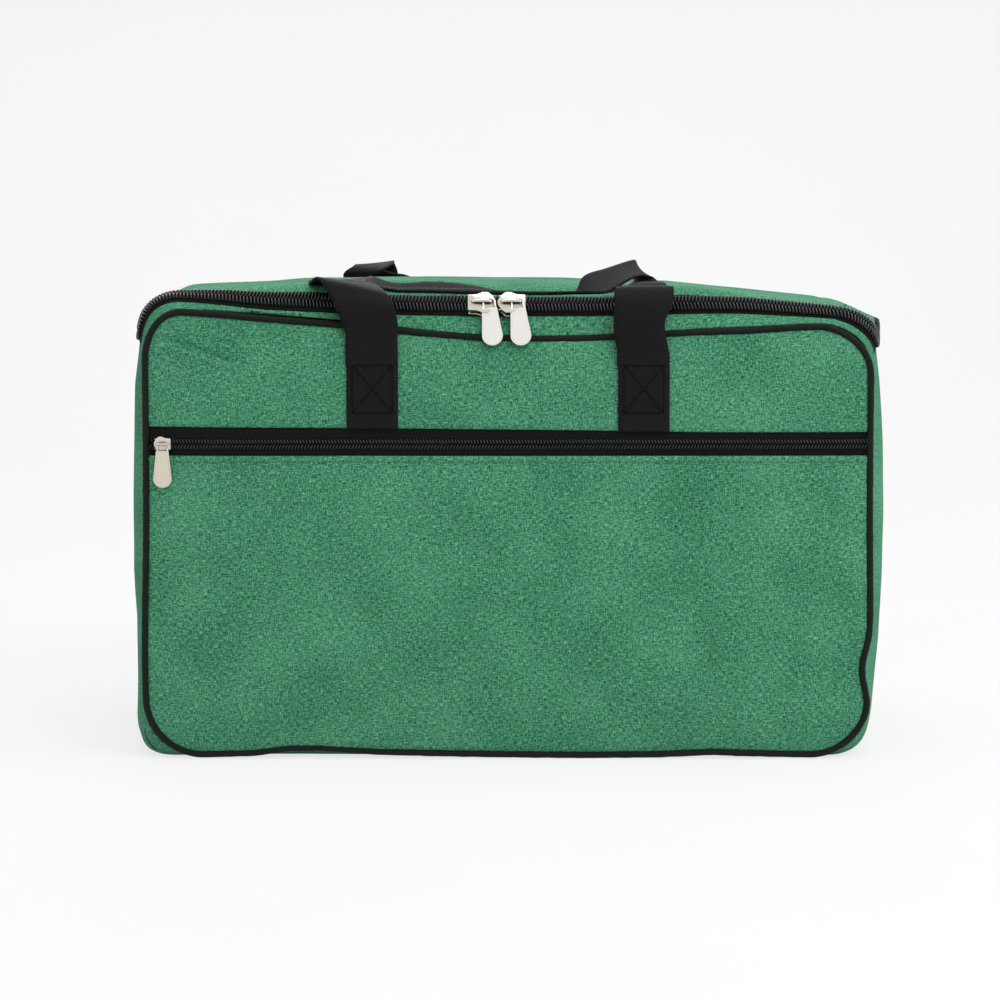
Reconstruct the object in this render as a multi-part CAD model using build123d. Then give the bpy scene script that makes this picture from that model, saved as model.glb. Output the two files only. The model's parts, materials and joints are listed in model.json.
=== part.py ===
from build123d import *
import os

# Soft upright bag for board games: padded body, three-sided zip-open lid, flat front pocket.
# Millimetres, +Z up, the front faces -Y, origin on the floor under the middle of the bag.

# Overall form
panel_width = 576.0
panel_bottom = 4.0
panel_top = 350.0
panel_corner = 45.0
gusset_fullness = 15.0
gusset_rise = 26.0
gusset_corner = 58.0
bag_depth = 310.0
shoulder_depth = 15.0

# Layers
shell_inset = 2.0
foam_thickness = 5.0
lining_thickness = 1.0
panel_thickness = 1.5
pocket_gap = 7.0
board_thickness = 3.0
layer_clearance = 0.3
binding_thickness = 0.8
binding_width = 12.0
board_corner = 10.0
bottom_seam_inset = 2.0

# Piping
piping_radius = 2.5
seam_gap = 0.3

# Main zip, sizes measured up the slope from the front piping
top_strip_width = 3.5
lower_tape_width = 7.0
coil_width = 5.3
coil_thickness = 2.6
coil_gap = 1.2
upper_tape_width = 5.2
tape_thickness = 1.0
tape_clearance = 0.2
side_zip_drop = 57.0
zip_turn_margin = 4.0
rear_strip_width = 20.0
lid_clearance = 0.4
lid_pad_margin = 6.0

# Sliders and pull tabs
slider_plate = 1.6
slider_clearance = 0.3
slider_fin = 0.6
bail_pin_radius = 0.8
bail_clearance = 0.3
tab_barrel_wall = 0.9
tab_thickness = 1.6
tab_neck_length = 2.8
main_slider_length = 23.0
main_slider_half_height = 7.6
main_slider_gap = 0.6
main_slider_meet = -9.0
main_tab_length = 31.0
main_tab_top = 10.0
main_tab_bottom = 16.0
pocket_slider_length = 13.6
pocket_slider_half_height = 5.6
pocket_slider_end_gap = 9.9
pocket_tab_length = 27.5
pocket_tab_top = 9.0
pocket_tab_bottom = 15.5

# Pocket zip on the front panel
pocket_zip_drop = 85.5
pocket_zip_width = 20.5
pocket_coil_width = 3.0
pocket_coil_thickness = 1.8
pocket_coil_gap = 1.0
end_tab_width = 14.0
end_tab_thickness = 1.2

# Webbing handles
strap_width = 40.0
strap_thickness = 2.2
strap_spacing = 218.0
anchor_drop = 28.0
anchor_length = 57.0
strap_stand_off = 13.0
strap_lean_out = 20.0
strap_upright_end = 4.0
strap_crest_back = 6.0
strap_arch_rise = 20.0
strap_landing = 10.0
strap_lie_back = 67.0
strap_bend = 7.0
stitch_diameter = 0.7
stitch_box_width = 32.0
stitch_box_inset = 14.0
stitch_box_top_gap = 5.0

# Values worked out from the ones above
gusset_width = panel_width + 2 * gusset_fullness
gusset_top = panel_top + gusset_rise
bottom_half_width = gusset_width / 2 - gusset_corner - bottom_seam_inset
side_zip_base = gusset_top - side_zip_drop
straight_zip_half = gusset_width / 2 - gusset_corner - zip_turn_margin
pocket_zip_top = panel_top - pocket_zip_drop
pocket_zip_bottom = pocket_zip_top - pocket_zip_width
anchor_top = panel_top - anchor_drop
anchor_bottom = anchor_top - anchor_length
stitch_box_base = anchor_bottom + stitch_box_inset
stitch_box_height = anchor_length - stitch_box_inset - stitch_box_top_gap
front_y = -bag_depth / 2
shoulder_y = bag_depth / 2 - shoulder_depth
slope_rise = gusset_top - panel_top
slope_length = (shoulder_depth ** 2 + slope_rise ** 2) ** 0.5
slope_y = shoulder_depth / slope_length
slope_z = slope_rise / slope_length
foam_inset = shell_inset + foam_thickness
lining_inset = foam_inset + lining_thickness
zip_front_y = front_y + top_strip_width * slope_y
lower_coil_start = lower_tape_width + tape_clearance
lower_coil_end = lower_coil_start + coil_width
upper_coil_start = lower_coil_end + coil_gap
upper_coil_end = upper_coil_start + coil_width
upper_tape_start = upper_coil_end + tape_clearance
upper_tape_end = upper_tape_start + upper_tape_width
lid_start = upper_tape_end + lid_clearance
zip_centre = (lower_coil_end + upper_coil_start) / 2
hinge_y = shoulder_y - rear_strip_width
lid_rear_y = hinge_y - lid_clearance
pocket_back_y = front_y + panel_thickness + pocket_gap
front_foam_y = pocket_back_y + lining_thickness
front_lining_y = front_foam_y + foam_thickness
side_layer_y = front_lining_y + lining_thickness
front_wall_top = panel_top - 2 * shell_inset
panel_half_width = panel_width / 2 - piping_radius - seam_gap
far = 2 * gusset_width

os.makedirs("parts", exist_ok=True)


def save(name, shape):
    """Write one sub-part under its node name."""
    export_step(shape, f"parts/{name}.step")


def block(x, y, z):
    """A box from its lowest to its highest x, y and z."""
    size = (x[1] - x[0], y[1] - y[0], z[1] - z[0])
    centre = ((x[0] + x[1]) / 2, (y[0] + y[1]) / 2, (z[0] + z[1]) / 2)
    return Pos(*centre) * Box(*size)


def outline(half_width, bottom, top, corner, y):
    """A rounded rectangle that stands across the bag at y."""
    plane = Plane.XZ.offset(-y)
    shape = RectangleRounded(2 * half_width, top - bottom, corner)
    return plane * Pos(0, (top + bottom) / 2) * shape


def bag_outline(y, inset):
    """The gusset's outline at y: it narrows towards the front and back panels."""
    share = max(0.0, (abs(y) - shoulder_y) / shoulder_depth)
    half_width = gusset_width / 2 - share * (gusset_width - panel_width) / 2
    top = gusset_top - share * slope_rise
    bottom = share * panel_bottom
    corner = gusset_corner - share * (gusset_corner - panel_corner)
    return outline(half_width - inset, bottom + inset, top - inset, corner - inset, y)


def bag_solid(inset, end_y):
    """The whole bag as one solid, its surface drawn in by inset, between both ends."""
    front = loft([bag_outline(-end_y, inset), bag_outline(-shoulder_y, inset)], ruled=True)
    middle = loft([bag_outline(-shoulder_y, inset), bag_outline(shoulder_y, inset)], ruled=True)
    back = loft([bag_outline(shoulder_y, inset), bag_outline(end_y, inset)], ruled=True)
    return front + middle + back


def ring(inner, outer, y):
    """A layer of the gusset between two insets, straight along the bag."""
    solid = extrude(bag_outline(0, outer), bag_depth, both=True)
    hole = extrude(bag_outline(0, inner), bag_depth + 1, both=True)
    return (solid - hole) & block((-far, far), y, (-far, far))


def inside_zip(step):
    """All that lies on the lid's side of a line, step millimetres up from the zip's lower edge.

    The front of that line is round about the lid's hinge, so that the lid can swing up past it.
    """
    reach = hinge_y - zip_front_y - step * slope_y
    swing = Pos(0, hinge_y, gusset_top) * Rot(0, 90, 0) * Cylinder(reach, 2 * far)
    return swing & block((-far, far), (-far, lid_rear_y), (side_zip_base + step, far))


def zip_band(start, end):
    """The part of the gusset's side faces between two lines beside the zip."""
    return inside_zip(start) - inside_zip(end)


def side(sign):
    """The half of space left (-1) or right (+1) of the straight front stretch of the zip."""
    low, high = sorted((sign * straight_zip_half, sign * far))
    return block((low, high), (-far, far), (-far, far))


# The slope that carries the front stretch of the main zip, and the front panel's plane
slope = Plane(
    origin=(0, front_y, panel_top),
    x_dir=(1, 0, 0),
    z_dir=(0, -slope_z, slope_y),
)
pocket_zip_centre = (pocket_zip_top + pocket_zip_bottom) / 2
pocket_face = Plane(
    origin=(0, front_y + panel_thickness, pocket_zip_centre),
    x_dir=(1, 0, 0),
    z_dir=(0, -1, 0),
)


def on_slope(x, up, out):
    """A box on the zip's slope: along the bag, up the slope and out from it."""
    return slope.location * block(x, up, out)


def bead(sign, radius):
    """A round bead along the edge of the front (-1) or back (+1) panel."""
    edge = outline(panel_width / 2, panel_bottom, panel_top, panel_corner, sign * bag_depth / 2)
    path = edge.face().outer_wire()
    section = Plane(origin=path @ 0, z_dir=path % 0) * Circle(radius)
    return sweep(section, path=path)


# Gusset shell, with its edges turned in beside the piping
shell = bag_solid(0, bag_depth / 2) - bag_solid(shell_inset, bag_depth / 2 + 1)
for sign in (-1, 1):
    shell -= bead(sign, piping_radius + seam_gap)

body_shell = shell - inside_zip(0)
upper_zone = block((-far, far), (-far, far), (side_zip_base, far))
front_half = block((-far, far), (-far, 0), (-far, far))
back_half = block((-far, far), (0, far), (-far, far))
bottom_zone = block((-bottom_half_width, bottom_half_width), (-far, far), (-far, gusset_corner))
tape_room = on_slope(
    (-straight_zip_half, straight_zip_half),
    (top_strip_width - tape_clearance, 2 * slope_length),
    (-2 * shell_inset, 2 * shell_inset),
)
save("front_top_strip", (body_shell & upper_zone & front_half) - tape_room)
save("back_top_strip", body_shell & upper_zone & back_half)
save("bottom_panel", body_shell & bottom_zone)
walls = body_shell - upper_zone - bottom_zone
for name, sign in (("left", -1), ("right", 1)):
    half = block(sorted((0, sign * far)), (-far, far), (-far, far))
    save(f"{name}_side_panel", walls & half)

# Padding and lining of the sides, the bottom and the lid
layer_span = (side_layer_y, -side_layer_y)
foam_ring = ring(foam_inset, shell_inset, layer_span)
lining_ring = ring(lining_inset, foam_inset, layer_span)
low_walls = block((-far, far), (-far, far), (-far, side_zip_base))
lid_zone = inside_zip(lid_start)
lid_pad_zone = inside_zip(lid_start + lid_pad_margin)
for name, sign in (("left", -1), ("right", 1)):
    half = block(sorted((0, sign * far)), (-far, far), (-far, far))
    save(f"{name}_side_foam", (foam_ring & low_walls & half) - bottom_zone)
    save(f"{name}_side_lining", (lining_ring & low_walls & half) - bottom_zone)

board_top = shell_inset + board_thickness
board_x = (-bottom_half_width, bottom_half_width)
board = block(board_x, layer_span, (shell_inset, board_top))
save("bottom_board", fillet(board.edges().filter_by(Axis.Z), board_corner))
save("bottom_foam", block(board_x, layer_span, (board_top, foam_inset)))
save("bottom_lining", lining_ring & bottom_zone)

lid_tape_room = on_slope(
    (-straight_zip_half, straight_zip_half),
    (0, top_strip_width + upper_tape_end + tape_clearance),
    (-tape_thickness - tape_clearance, 2 * shell_inset),
)
save("lid_panel", (shell & lid_zone) - lid_tape_room)
save("lid_foam", foam_ring & lid_pad_zone)
save("lid_lining", lining_ring & lid_pad_zone)

# Front wall: upper panel and its padding, pocket panel, the pocket's back, padding, lining
panel_face = outline(
    panel_half_width,
    panel_bottom + piping_radius + seam_gap,
    panel_top - piping_radius - seam_gap,
    panel_corner - piping_radius - seam_gap,
    front_y + panel_thickness,
)
front_plate = extrude(panel_face, panel_thickness)
above_pocket = block((-far, far), (-far, far), (pocket_zip_top, far))
below_pocket = block((-far, far), (-far, far), (-far, pocket_zip_bottom))
save("front_upper_panel", front_plate & above_pocket)
save("pocket_panel", front_plate & below_pocket)

wall_inset = shell_inset + layer_clearance
below_wall_top = block((-far, far), (-far, far), (-far, front_wall_top))


def wall_layer(start_y, thickness):
    """A sheet across the front of the bag, inside the gusset."""
    sheet = bag_outline(start_y, wall_inset)
    return extrude(sheet, thickness, dir=(0, 1, 0)) & below_wall_top


upper_foam = outline(
    panel_half_width - layer_clearance,
    panel_bottom + piping_radius + seam_gap,
    front_wall_top,
    panel_corner - piping_radius - seam_gap,
    front_y + panel_thickness,
)
upper_foam = extrude(upper_foam, pocket_gap, dir=(0, 1, 0)) & above_pocket
save("front_upper_foam", upper_foam)
save("pocket_back", wall_layer(pocket_back_y, lining_thickness))
save("front_foam", wall_layer(front_foam_y, foam_thickness))
save("front_lining", wall_layer(front_lining_y, lining_thickness))

# Back wall: panel, padding, lining
save("back_panel", mirror(front_plate, Plane.XZ))
back_foam_y = lining_thickness - side_layer_y
back_foam_depth = bag_depth / 2 - panel_thickness - back_foam_y
back_foam = extrude(panel_face, back_foam_depth, dir=(0, 1, 0))
save("back_foam", mirror(back_foam, Plane.XZ))
back_lining = extrude(bag_outline(back_foam_y, wall_inset), lining_thickness, dir=(0, -1, 0))
save("back_lining", back_lining)

# Bound seam allowances inside, front and back
binding_ring = ring(lining_inset + binding_thickness, lining_inset, (side_layer_y, -side_layer_y))
front_binding = block((-far, far), (side_layer_y, side_layer_y + binding_width), (-far, side_zip_base))
save("front_seam_binding", binding_ring & front_binding)
save("back_seam_binding", binding_ring & mirror(front_binding, Plane.XZ))

# Piping round the front and back panels
for name, sign in (("front", -1), ("back", 1)):
    save(f"{name}_piping", bead(sign, piping_radius))

# Main zip: tapes and coils, straight along the front, then round the corners and back
straight_x = (-straight_zip_half, straight_zip_half)
coil_out = (-coil_thickness / 2, coil_thickness / 2)
tape_out = (-tape_thickness, 0.0)
coil_shell = bag_solid(-shell_inset / 4, bag_depth / 2) - bag_solid(shell_inset, bag_depth / 2 + 1)
for name, start, end, out, source in (
    ("main_zip_lower_tape", 0.0, lower_tape_width, tape_out, shell),
    ("main_zip_lower_coil", lower_coil_start, lower_coil_end, coil_out, coil_shell),
    ("main_zip_upper_coil", upper_coil_start, upper_coil_end, coil_out, coil_shell),
    ("main_zip_upper_tape", upper_tape_start, upper_tape_end, tape_out, shell),
):
    up = (top_strip_width + start, top_strip_width + end)
    straight = on_slope(straight_x, up, out)
    band = source & zip_band(start, end)
    left_run = band & side(-1)
    right_run = band & side(1)
    save(name, straight + left_run + right_run)


def tab_outline(length, top, bottom, neck):
    """A teardrop pull tab, hanging down from its pivot on a neck as wide as its barrel."""
    end = bottom / 2
    body = Polyline(
        (-neck / 2, 0),
        (-neck / 2, -tab_neck_length),
        (-top / 2, -tab_neck_length),
        (-end, -length + end),
        (end, -length + end),
        (top / 2, -tab_neck_length),
        (neck / 2, -tab_neck_length),
        (neck / 2, 0),
        close=True,
    )
    return make_face(body) + Pos(0, -length + end) * Circle(end)


def slider(length, half_height, coil_half, held_side):
    """A zip slider: front plate over both coils, back plate behind the held side, fin and bail."""
    inner = coil_half + slider_clearance
    outer = inner + slider_plate
    pin_out = outer + bail_pin_radius + tab_barrel_wall + 2 * bail_clearance
    front = block((-length / 2, length / 2), (-half_height, half_height), (inner, outer))
    front = fillet(front.edges().filter_by(Axis.Z), half_height * 0.45)
    low, high = sorted((-held_side * slider_fin / 2, held_side * half_height))
    back = block((-length / 2, length / 2), (low, high), (-outer, -inner))
    fin = block((-length / 6, length / 6), (-slider_fin / 2, slider_fin / 2), (-inner, inner))
    post_x = length / 2 - slider_plate * 1.5
    body = front + back + fin
    for sign in (-1, 1):
        x = sorted((sign * (post_x - slider_plate), sign * post_x))
        post_up = (-slider_plate, slider_plate)
        body += block(x, post_up, (outer, pin_out + bail_pin_radius + slider_plate / 2))
    pin = Pos(0, 0, pin_out) * Rot(0, 90, 0) * Cylinder(bail_pin_radius, 2 * post_x - slider_plate)
    return body + pin, pin_out, post_x - slider_plate


def pull_tab(pin_out, barrel_half, length, top, bottom):
    """A pull tab with a barrel round the bail's pin, pointing down at rest."""
    bore = bail_pin_radius + bail_clearance
    barrel_radius = bore + tab_barrel_wall
    width = 2 * (barrel_half - bail_clearance)
    plate = extrude(tab_outline(length, top, bottom, width), tab_thickness / 2, both=True)
    barrel = Rot(0, 90, 0) * Cylinder(barrel_radius, width)
    slot = block((-far, far), (-bore, barrel_radius * 2), (-far, far))
    hole = Rot(0, 90, 0) * Cylinder(bore, width * 2)
    return Pos(0, 0, pin_out) * ((plate - slot) + barrel - hole)


# Main sliders meet at the middle of the front, each with its tab
main_slider, main_pin_out, main_post = slider(
    main_slider_length, main_slider_half_height, coil_thickness / 2, 1
)
main_tab = pull_tab(main_pin_out, main_post, main_tab_length, main_tab_top, main_tab_bottom)
main_zip_up = top_strip_width + zip_centre
for name, sign in (("left", -1), ("right", 1)):
    x = main_slider_meet + sign * (main_slider_length + main_slider_gap) / 2
    place = slope.location * Pos(x, main_zip_up, 0)
    save(f"{name}_main_slider", place * main_slider)
    save(f"{name}_pull_tab", place * main_tab)

# Pocket zip across the front, its slider at the left end
pocket_half = panel_half_width - layer_clearance
pocket_x = (-pocket_half, pocket_half)
pocket_coil_end = pocket_coil_gap / 2 + pocket_coil_width
pocket_edge = (pocket_zip_top - pocket_zip_bottom) / 2
pocket_coil_low = (panel_thickness - pocket_coil_thickness) / 2
pocket_coil_out = (pocket_coil_low, pocket_coil_low + pocket_coil_thickness)
for name, sign in (("upper", 1), ("lower", -1)):
    tape_up = sorted((sign * (pocket_coil_end + tape_clearance / 2), sign * pocket_edge))
    coil_up = sorted((sign * pocket_coil_gap / 2, sign * pocket_coil_end))
    tape = block(pocket_x, tape_up, (0.0, panel_thickness))
    coil = block(pocket_x, coil_up, pocket_coil_out)
    save(f"pocket_zip_{name}_tape", pocket_face.location * tape)
    save(f"pocket_zip_{name}_coil", pocket_face.location * coil)

small_slider, small_pin_out, small_post = slider(
    pocket_slider_length, pocket_slider_half_height, pocket_coil_thickness / 2, 1
)
small_tab = pull_tab(small_pin_out, small_post, pocket_tab_length, pocket_tab_top, pocket_tab_bottom)
pocket_slider_x = pocket_slider_end_gap - pocket_half
place = pocket_face.location * Pos(pocket_slider_x, 0, panel_thickness / 2)
save("pocket_slider", place * small_slider)
save("pocket_pull_tab", place * small_tab)


def strap_profile():
    """The handle's strap seen from the side: up from its anchor, over the zip, down on the lid."""
    foot_y = front_y - strap_thickness / 2
    out_y = foot_y - strap_stand_off
    lie_z = gusset_top + layer_clearance + strap_thickness / 2
    lie_y = strap_landing - shoulder_y
    path = FilletPolyline(
        (foot_y, anchor_top + strap_thickness / 2),
        (out_y, anchor_top + strap_lean_out),
        (out_y, gusset_top - strap_upright_end),
        (front_y + strap_crest_back, gusset_top + strap_arch_rise),
        (lie_y, lie_z),
        (lie_y + strap_lie_back - strap_width / 2, lie_z),
        radius=strap_bend,
    )
    return trace(path, strap_thickness)


# Handles: sewn feet, stitches and the loop that lies back on the lid
half_strap = strap_width / 2
half_spacing = strap_spacing / 2
loop_back = strap_landing - shoulder_y + strap_lie_back - strap_width / 2
lie_low = gusset_top + layer_clearance
arch = extrude(Plane.YZ * strap_profile(), half_strap, both=True)
run_x = (-half_spacing - half_strap, half_spacing + half_strap)
run = block(run_x, (loop_back - strap_width, loop_back), (lie_low, lie_low + strap_thickness))
loop = run
for sign in (-1, 1):
    loop = loop + Pos(sign * half_spacing, 0, 0) * arch


def stitch(start, end):
    """One sewn row as a thin raised thread."""
    path = Line(start, end)
    section = Plane(origin=start, z_dir=path % 0) * Circle(stitch_diameter / 2)
    return sweep(section, path=path)


def stitch_box(x):
    """A box with a cross in it, sewn through the webbing."""
    y = front_y - strap_thickness - stitch_diameter / 2
    low_x = x - stitch_box_width / 2
    high_x = x + stitch_box_width / 2
    low_z = stitch_box_base
    high_z = stitch_box_base + stitch_box_height
    corners = [(low_x, y, low_z), (high_x, y, low_z), (high_x, y, high_z), (low_x, y, high_z)]
    rows = stitch(corners[0], corners[2]) + stitch(corners[1], corners[3])
    for first, second in zip(corners, corners[1:] + corners[:1]):
        rows += stitch(first, second)
    return rows


anchor_y = (front_y - strap_thickness, front_y)
stitches = []
for name, sign in (("left", -1), ("right", 1)):
    x = sign * half_spacing
    anchor = block((x - half_strap, x + half_strap), anchor_y, (anchor_bottom, anchor_top))
    save(f"front_handle_{name}_anchor", anchor)
    save(f"back_handle_{name}_anchor", mirror(anchor, Plane.XZ))
    stitches.append(stitch_box(x))
save("front_handle_loop", loop)
save("back_handle_loop", mirror(loop, Plane.XZ))
save("front_handle_stitches", Compound(children=stitches))
save("back_handle_stitches", Compound(children=[mirror(rows, Plane.XZ) for rows in stitches]))

# Webbing end tabs sewn over the rear ends of the main zip, beside the lid
end_tab_y = (hinge_y, hinge_y + end_tab_width)
end_tab_z = (side_zip_base + lower_coil_start, side_zip_base + upper_coil_end)
end_tabs = []
for sign in (-1, 1):
    x = sorted((sign * gusset_width / 2, sign * (gusset_width / 2 + end_tab_thickness)))
    end_tabs.append(block(x, end_tab_y, end_tab_z))
save("main_zip_end_tabs", Compound(children=end_tabs))
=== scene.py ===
import json
import math

import bmesh
import bpy
import numpy as np
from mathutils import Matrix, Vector, noise

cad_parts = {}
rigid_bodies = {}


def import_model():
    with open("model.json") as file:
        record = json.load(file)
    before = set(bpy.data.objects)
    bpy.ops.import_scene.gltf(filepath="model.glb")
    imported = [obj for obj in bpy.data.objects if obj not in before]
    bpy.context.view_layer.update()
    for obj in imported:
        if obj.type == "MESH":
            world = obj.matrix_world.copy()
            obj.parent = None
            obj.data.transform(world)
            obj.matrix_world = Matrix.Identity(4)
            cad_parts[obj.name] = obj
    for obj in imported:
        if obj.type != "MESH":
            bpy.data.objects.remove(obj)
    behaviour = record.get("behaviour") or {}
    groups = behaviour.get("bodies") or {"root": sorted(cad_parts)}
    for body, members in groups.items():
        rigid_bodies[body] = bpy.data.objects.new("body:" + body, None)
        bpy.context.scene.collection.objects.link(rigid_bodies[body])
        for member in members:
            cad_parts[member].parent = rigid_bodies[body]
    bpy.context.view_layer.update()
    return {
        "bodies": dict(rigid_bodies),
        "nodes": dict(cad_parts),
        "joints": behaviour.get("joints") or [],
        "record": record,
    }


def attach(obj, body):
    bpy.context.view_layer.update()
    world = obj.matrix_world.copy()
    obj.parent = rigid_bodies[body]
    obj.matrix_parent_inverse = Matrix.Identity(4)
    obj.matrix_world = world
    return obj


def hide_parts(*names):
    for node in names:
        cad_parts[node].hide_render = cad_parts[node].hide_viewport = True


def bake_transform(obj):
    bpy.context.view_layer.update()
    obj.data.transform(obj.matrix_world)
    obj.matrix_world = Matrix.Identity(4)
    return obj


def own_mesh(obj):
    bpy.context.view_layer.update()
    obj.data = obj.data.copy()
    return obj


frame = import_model()

# The frame is in metres and the sizes below are in millimetres. The front of the bag faces -Y.
MM = 0.001

# Outline of the bag, in millimetres: front and back panels, and the fuller middle
PANEL_HALF_WIDTH = 288.5
PANEL_BOTTOM = 3.6
PANEL_TOP = 352.0
PANEL_TOP_CORNER = (44.0, 30.0)
PANEL_BOTTOM_CORNER = (46.0, 44.0)
MIDDLE_HALF_WIDTH = 300.0
MIDDLE_TOP = 379.0
MIDDLE_TOP_CORNER = (32.0, 34.0)
MIDDLE_BOTTOM_CORNER = (38.0, 24.0)
HALF_DEPTH = 155.0
TOP_SHOULDER = 34.0
SIDE_SHOULDER = 58.0

# Main zip, measured up the cloth from the front piping
ZIP_CENTRE = 20.5
ZIP_TURN = 27.0
ZIP_BELOW_CORNER = 2.0
ZIP_REAR = 272.0
TAPE_HALF = 12.6
COIL_HALF = 6.0
COIL_PITCH = 2.75
CLOTH_CUT = 10.2
LID_CUT = 7.4

# Pocket zip
POCKET_ZIP_Z = 254.0
POCKET_TAPE_HALF = 9.8
POCKET_COIL_HALF = 3.6
POCKET_COIL_PITCH = 2.5

PIPING_RADIUS = 2.7
PIPING_SIDES = 14
STRAP_WIDTH = 41.0
STRAP_THICKNESS = 1.7
STRAP_X = 109.0
STRAP_END_X = STRAP_X - 1.2
STRAP_END_TOP = 327.0
BACK_STRAP_END = 262.0
STRAP_BOX_HALF = 16.0
STRAP_BOX_LOW = 279.0
STRAP_BOX_HIGH = 317.0
LOOP_FOOT = 318.0
HINGE_Y = 120.0
BOTTOM_SEAM = 238.0
BAG_MIDDLE = (0.0, 0.0, 190.0)
CLOTH_THICKNESS = 1.2


def smooth(t):
    """Eases from 0 to 1."""
    t = np.clip(t, 0.0, 1.0)
    return t * t * (3 - 2 * t)


def hump(x, centre, width):
    """A soft bump of height 1 at centre."""
    return np.exp(-(((x - centre) / width) ** 2))


def share_grid(rows, columns):
    """Two arrays of shares from 0 to 1: one runs over the rows, the other over the columns."""
    return np.meshgrid(np.linspace(0, 1, rows), np.linspace(0, 1, columns), indexing="ij")


def run_along(path):
    """How far along a path each of its points lies."""
    return np.concatenate([[0], np.cumsum(np.linalg.norm(np.diff(path, axis=0), axis=1))])


def unit(vector):
    """A direction of length 1."""
    return vector / np.linalg.norm(vector)


def ripple(x, y, z, scale, seed):
    """Smooth noise at points given in millimetres, from about -1 to 1."""
    flat = np.broadcast_arrays(x, y, z)
    out = np.empty(flat[0].size)
    for i, point in enumerate(zip(*(f.ravel() for f in flat))):
        place = Vector((point[0] / scale + seed, point[1] / scale, point[2] / scale))
        out[i] = noise.noise(place)
    return out.reshape(flat[0].shape)


# Nominal outline: its length is the coordinate that runs round the bag, from the bottom's middle
NOMINAL_HALF = 296.0
NOMINAL_TOP = 376.0
NOMINAL_CORNER = 34.0
QUARTER = math.pi / 2 * NOMINAL_CORNER
FLAT = NOMINAL_HALF - NOMINAL_CORNER
UPRIGHT = NOMINAL_TOP - 2 * NOMINAL_CORNER
STOPS = np.cumsum([0, FLAT, QUARTER, UPRIGHT, QUARTER, 2 * FLAT, QUARTER, UPRIGHT, QUARTER, FLAT])
ROUND = STOPS[-1]


def outline(a, half, bottom, top, top_corner, bottom_corner):
    """Points and outward directions of a rounded rectangle.

    a runs from its bottom middle, right first. Each corner radius is a pair: right, left.
    """
    a = np.mod(a, ROUND)
    x = np.zeros_like(a)
    z = np.zeros_like(a)
    nx = np.zeros_like(a)
    nz = np.zeros_like(a)
    for i in range(9):
        here = (a >= STOPS[i]) & (a <= STOPS[i + 1])
        f = (a[here] - STOPS[i]) / (STOPS[i + 1] - STOPS[i])
        if i in (0, 8):
            inner = half - bottom_corner[0 if i == 0 else 1]
            x[here] = f * inner if i == 0 else (f - 1) * inner
            z[here] = bottom
            nz[here] = -1
        elif i == 4:
            x[here] = (half - top_corner[0]) * (1 - f) - (half - top_corner[1]) * f
            z[here] = top
            nz[here] = 1
        elif i in (2, 6):
            side = 1 if i == 2 else -1
            hand = 0 if i == 2 else 1
            low, high = bottom + bottom_corner[hand], top - top_corner[hand]
            x[here] = side * half
            z[here] = low + f * (high - low) if i == 2 else high - f * (high - low)
            nx[here] = side
        else:
            corner = (bottom_corner if i in (1, 7) else top_corner)[0 if i in (1, 3) else 1]
            turn = {1: -90, 3: 0, 5: 90, 7: 180}[i] + 90 * f
            angle = np.radians(turn)
            side = 1 if i in (1, 3) else -1
            level = bottom + corner if i in (1, 7) else top - corner
            nx[here] = np.cos(angle)
            nz[here] = np.sin(angle)
            x[here] = side * (half - corner) + corner * nx[here]
            z[here] = level + corner * nz[here]
    return x, z, nx, nz


# How the photographed edges depart from the plain outlines
TOP_EDGE_X = (-258, -229, -190, -142, -73, -22, 22, 60, 105, 150, 190, 232, 252)
TOP_EDGE_RISE = (7, 5, 1.3, -2.5, -9.3, -13.5, -14.4, -14, -11.6, -9, -7.8, -5, -4.5)
BOTTOM_EDGE_X = (-245, -205, -175, -150, -105, -60, 0, 60, 120, 165, 190, 240)
BOTTOM_EDGE_RISE = (0, 1, 5, 5, 2, 1, 0, -0.5, 0, 2, 1, 0)
LID_X = (-300, -262, -221, -161, -71, 50, 140, 200, 230, 262, 300)
LID_RISE = (-9, -5, -2, 1, 3, 2.5, -1, -7, -10.5, -14, -18)
LEFT_SIDE_Z = (0, 30, 60, 110, 150, 240, 300, 345)
LEFT_SIDE_OUT = (2, 4, 3, 2.5, 5, 4, 2, -3.5)


def panel_outline(a):
    """The plain outline of the front and back panels."""
    return outline(
        a, PANEL_HALF_WIDTH, PANEL_BOTTOM, PANEL_TOP, PANEL_TOP_CORNER, PANEL_BOTTOM_CORNER
    )


def front_edge(a):
    """The front piping's line, with the sag and waves that the photograph shows."""
    x, z, nx, nz = panel_outline(a)
    up = smooth(nz)
    down = smooth(-nz)
    z = z + up * np.interp(x, TOP_EDGE_X, TOP_EDGE_RISE)
    z = z + down * np.interp(x, BOTTOM_EDGE_X, BOTTOM_EDGE_RISE)
    side = np.abs(nx)
    x = x + nx * side * 1.5 * hump(z, 110, 70)
    x = x - 5.5 * (nx > 0) * side * hump(z, 73, 20)
    x = x - 1.5 * (nx < 0) * side * hump(z, 60, 60)
    y = np.full_like(x, -HALF_DEPTH) + 2.5 * up * hump(x, 30, 160) + 1.5 * down * hump(x, -150, 60)
    return x, y, z, nx, nz


def back_edge(a):
    """The back piping's line."""
    x, z, nx, nz = panel_outline(a)
    up = smooth(nz)
    down = smooth(-nz)
    z = z - up * 5 * hump(x, -20, 150) + up * 1.5 * np.sin(x / 47.0)
    z = z + down * 1.6 * (1 + np.sin(x / 39.0))
    x = x + 1.6 * nx * np.sin(z / 52.0)
    y = np.full_like(x, HALF_DEPTH)
    return x, y, z, nx, nz


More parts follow.
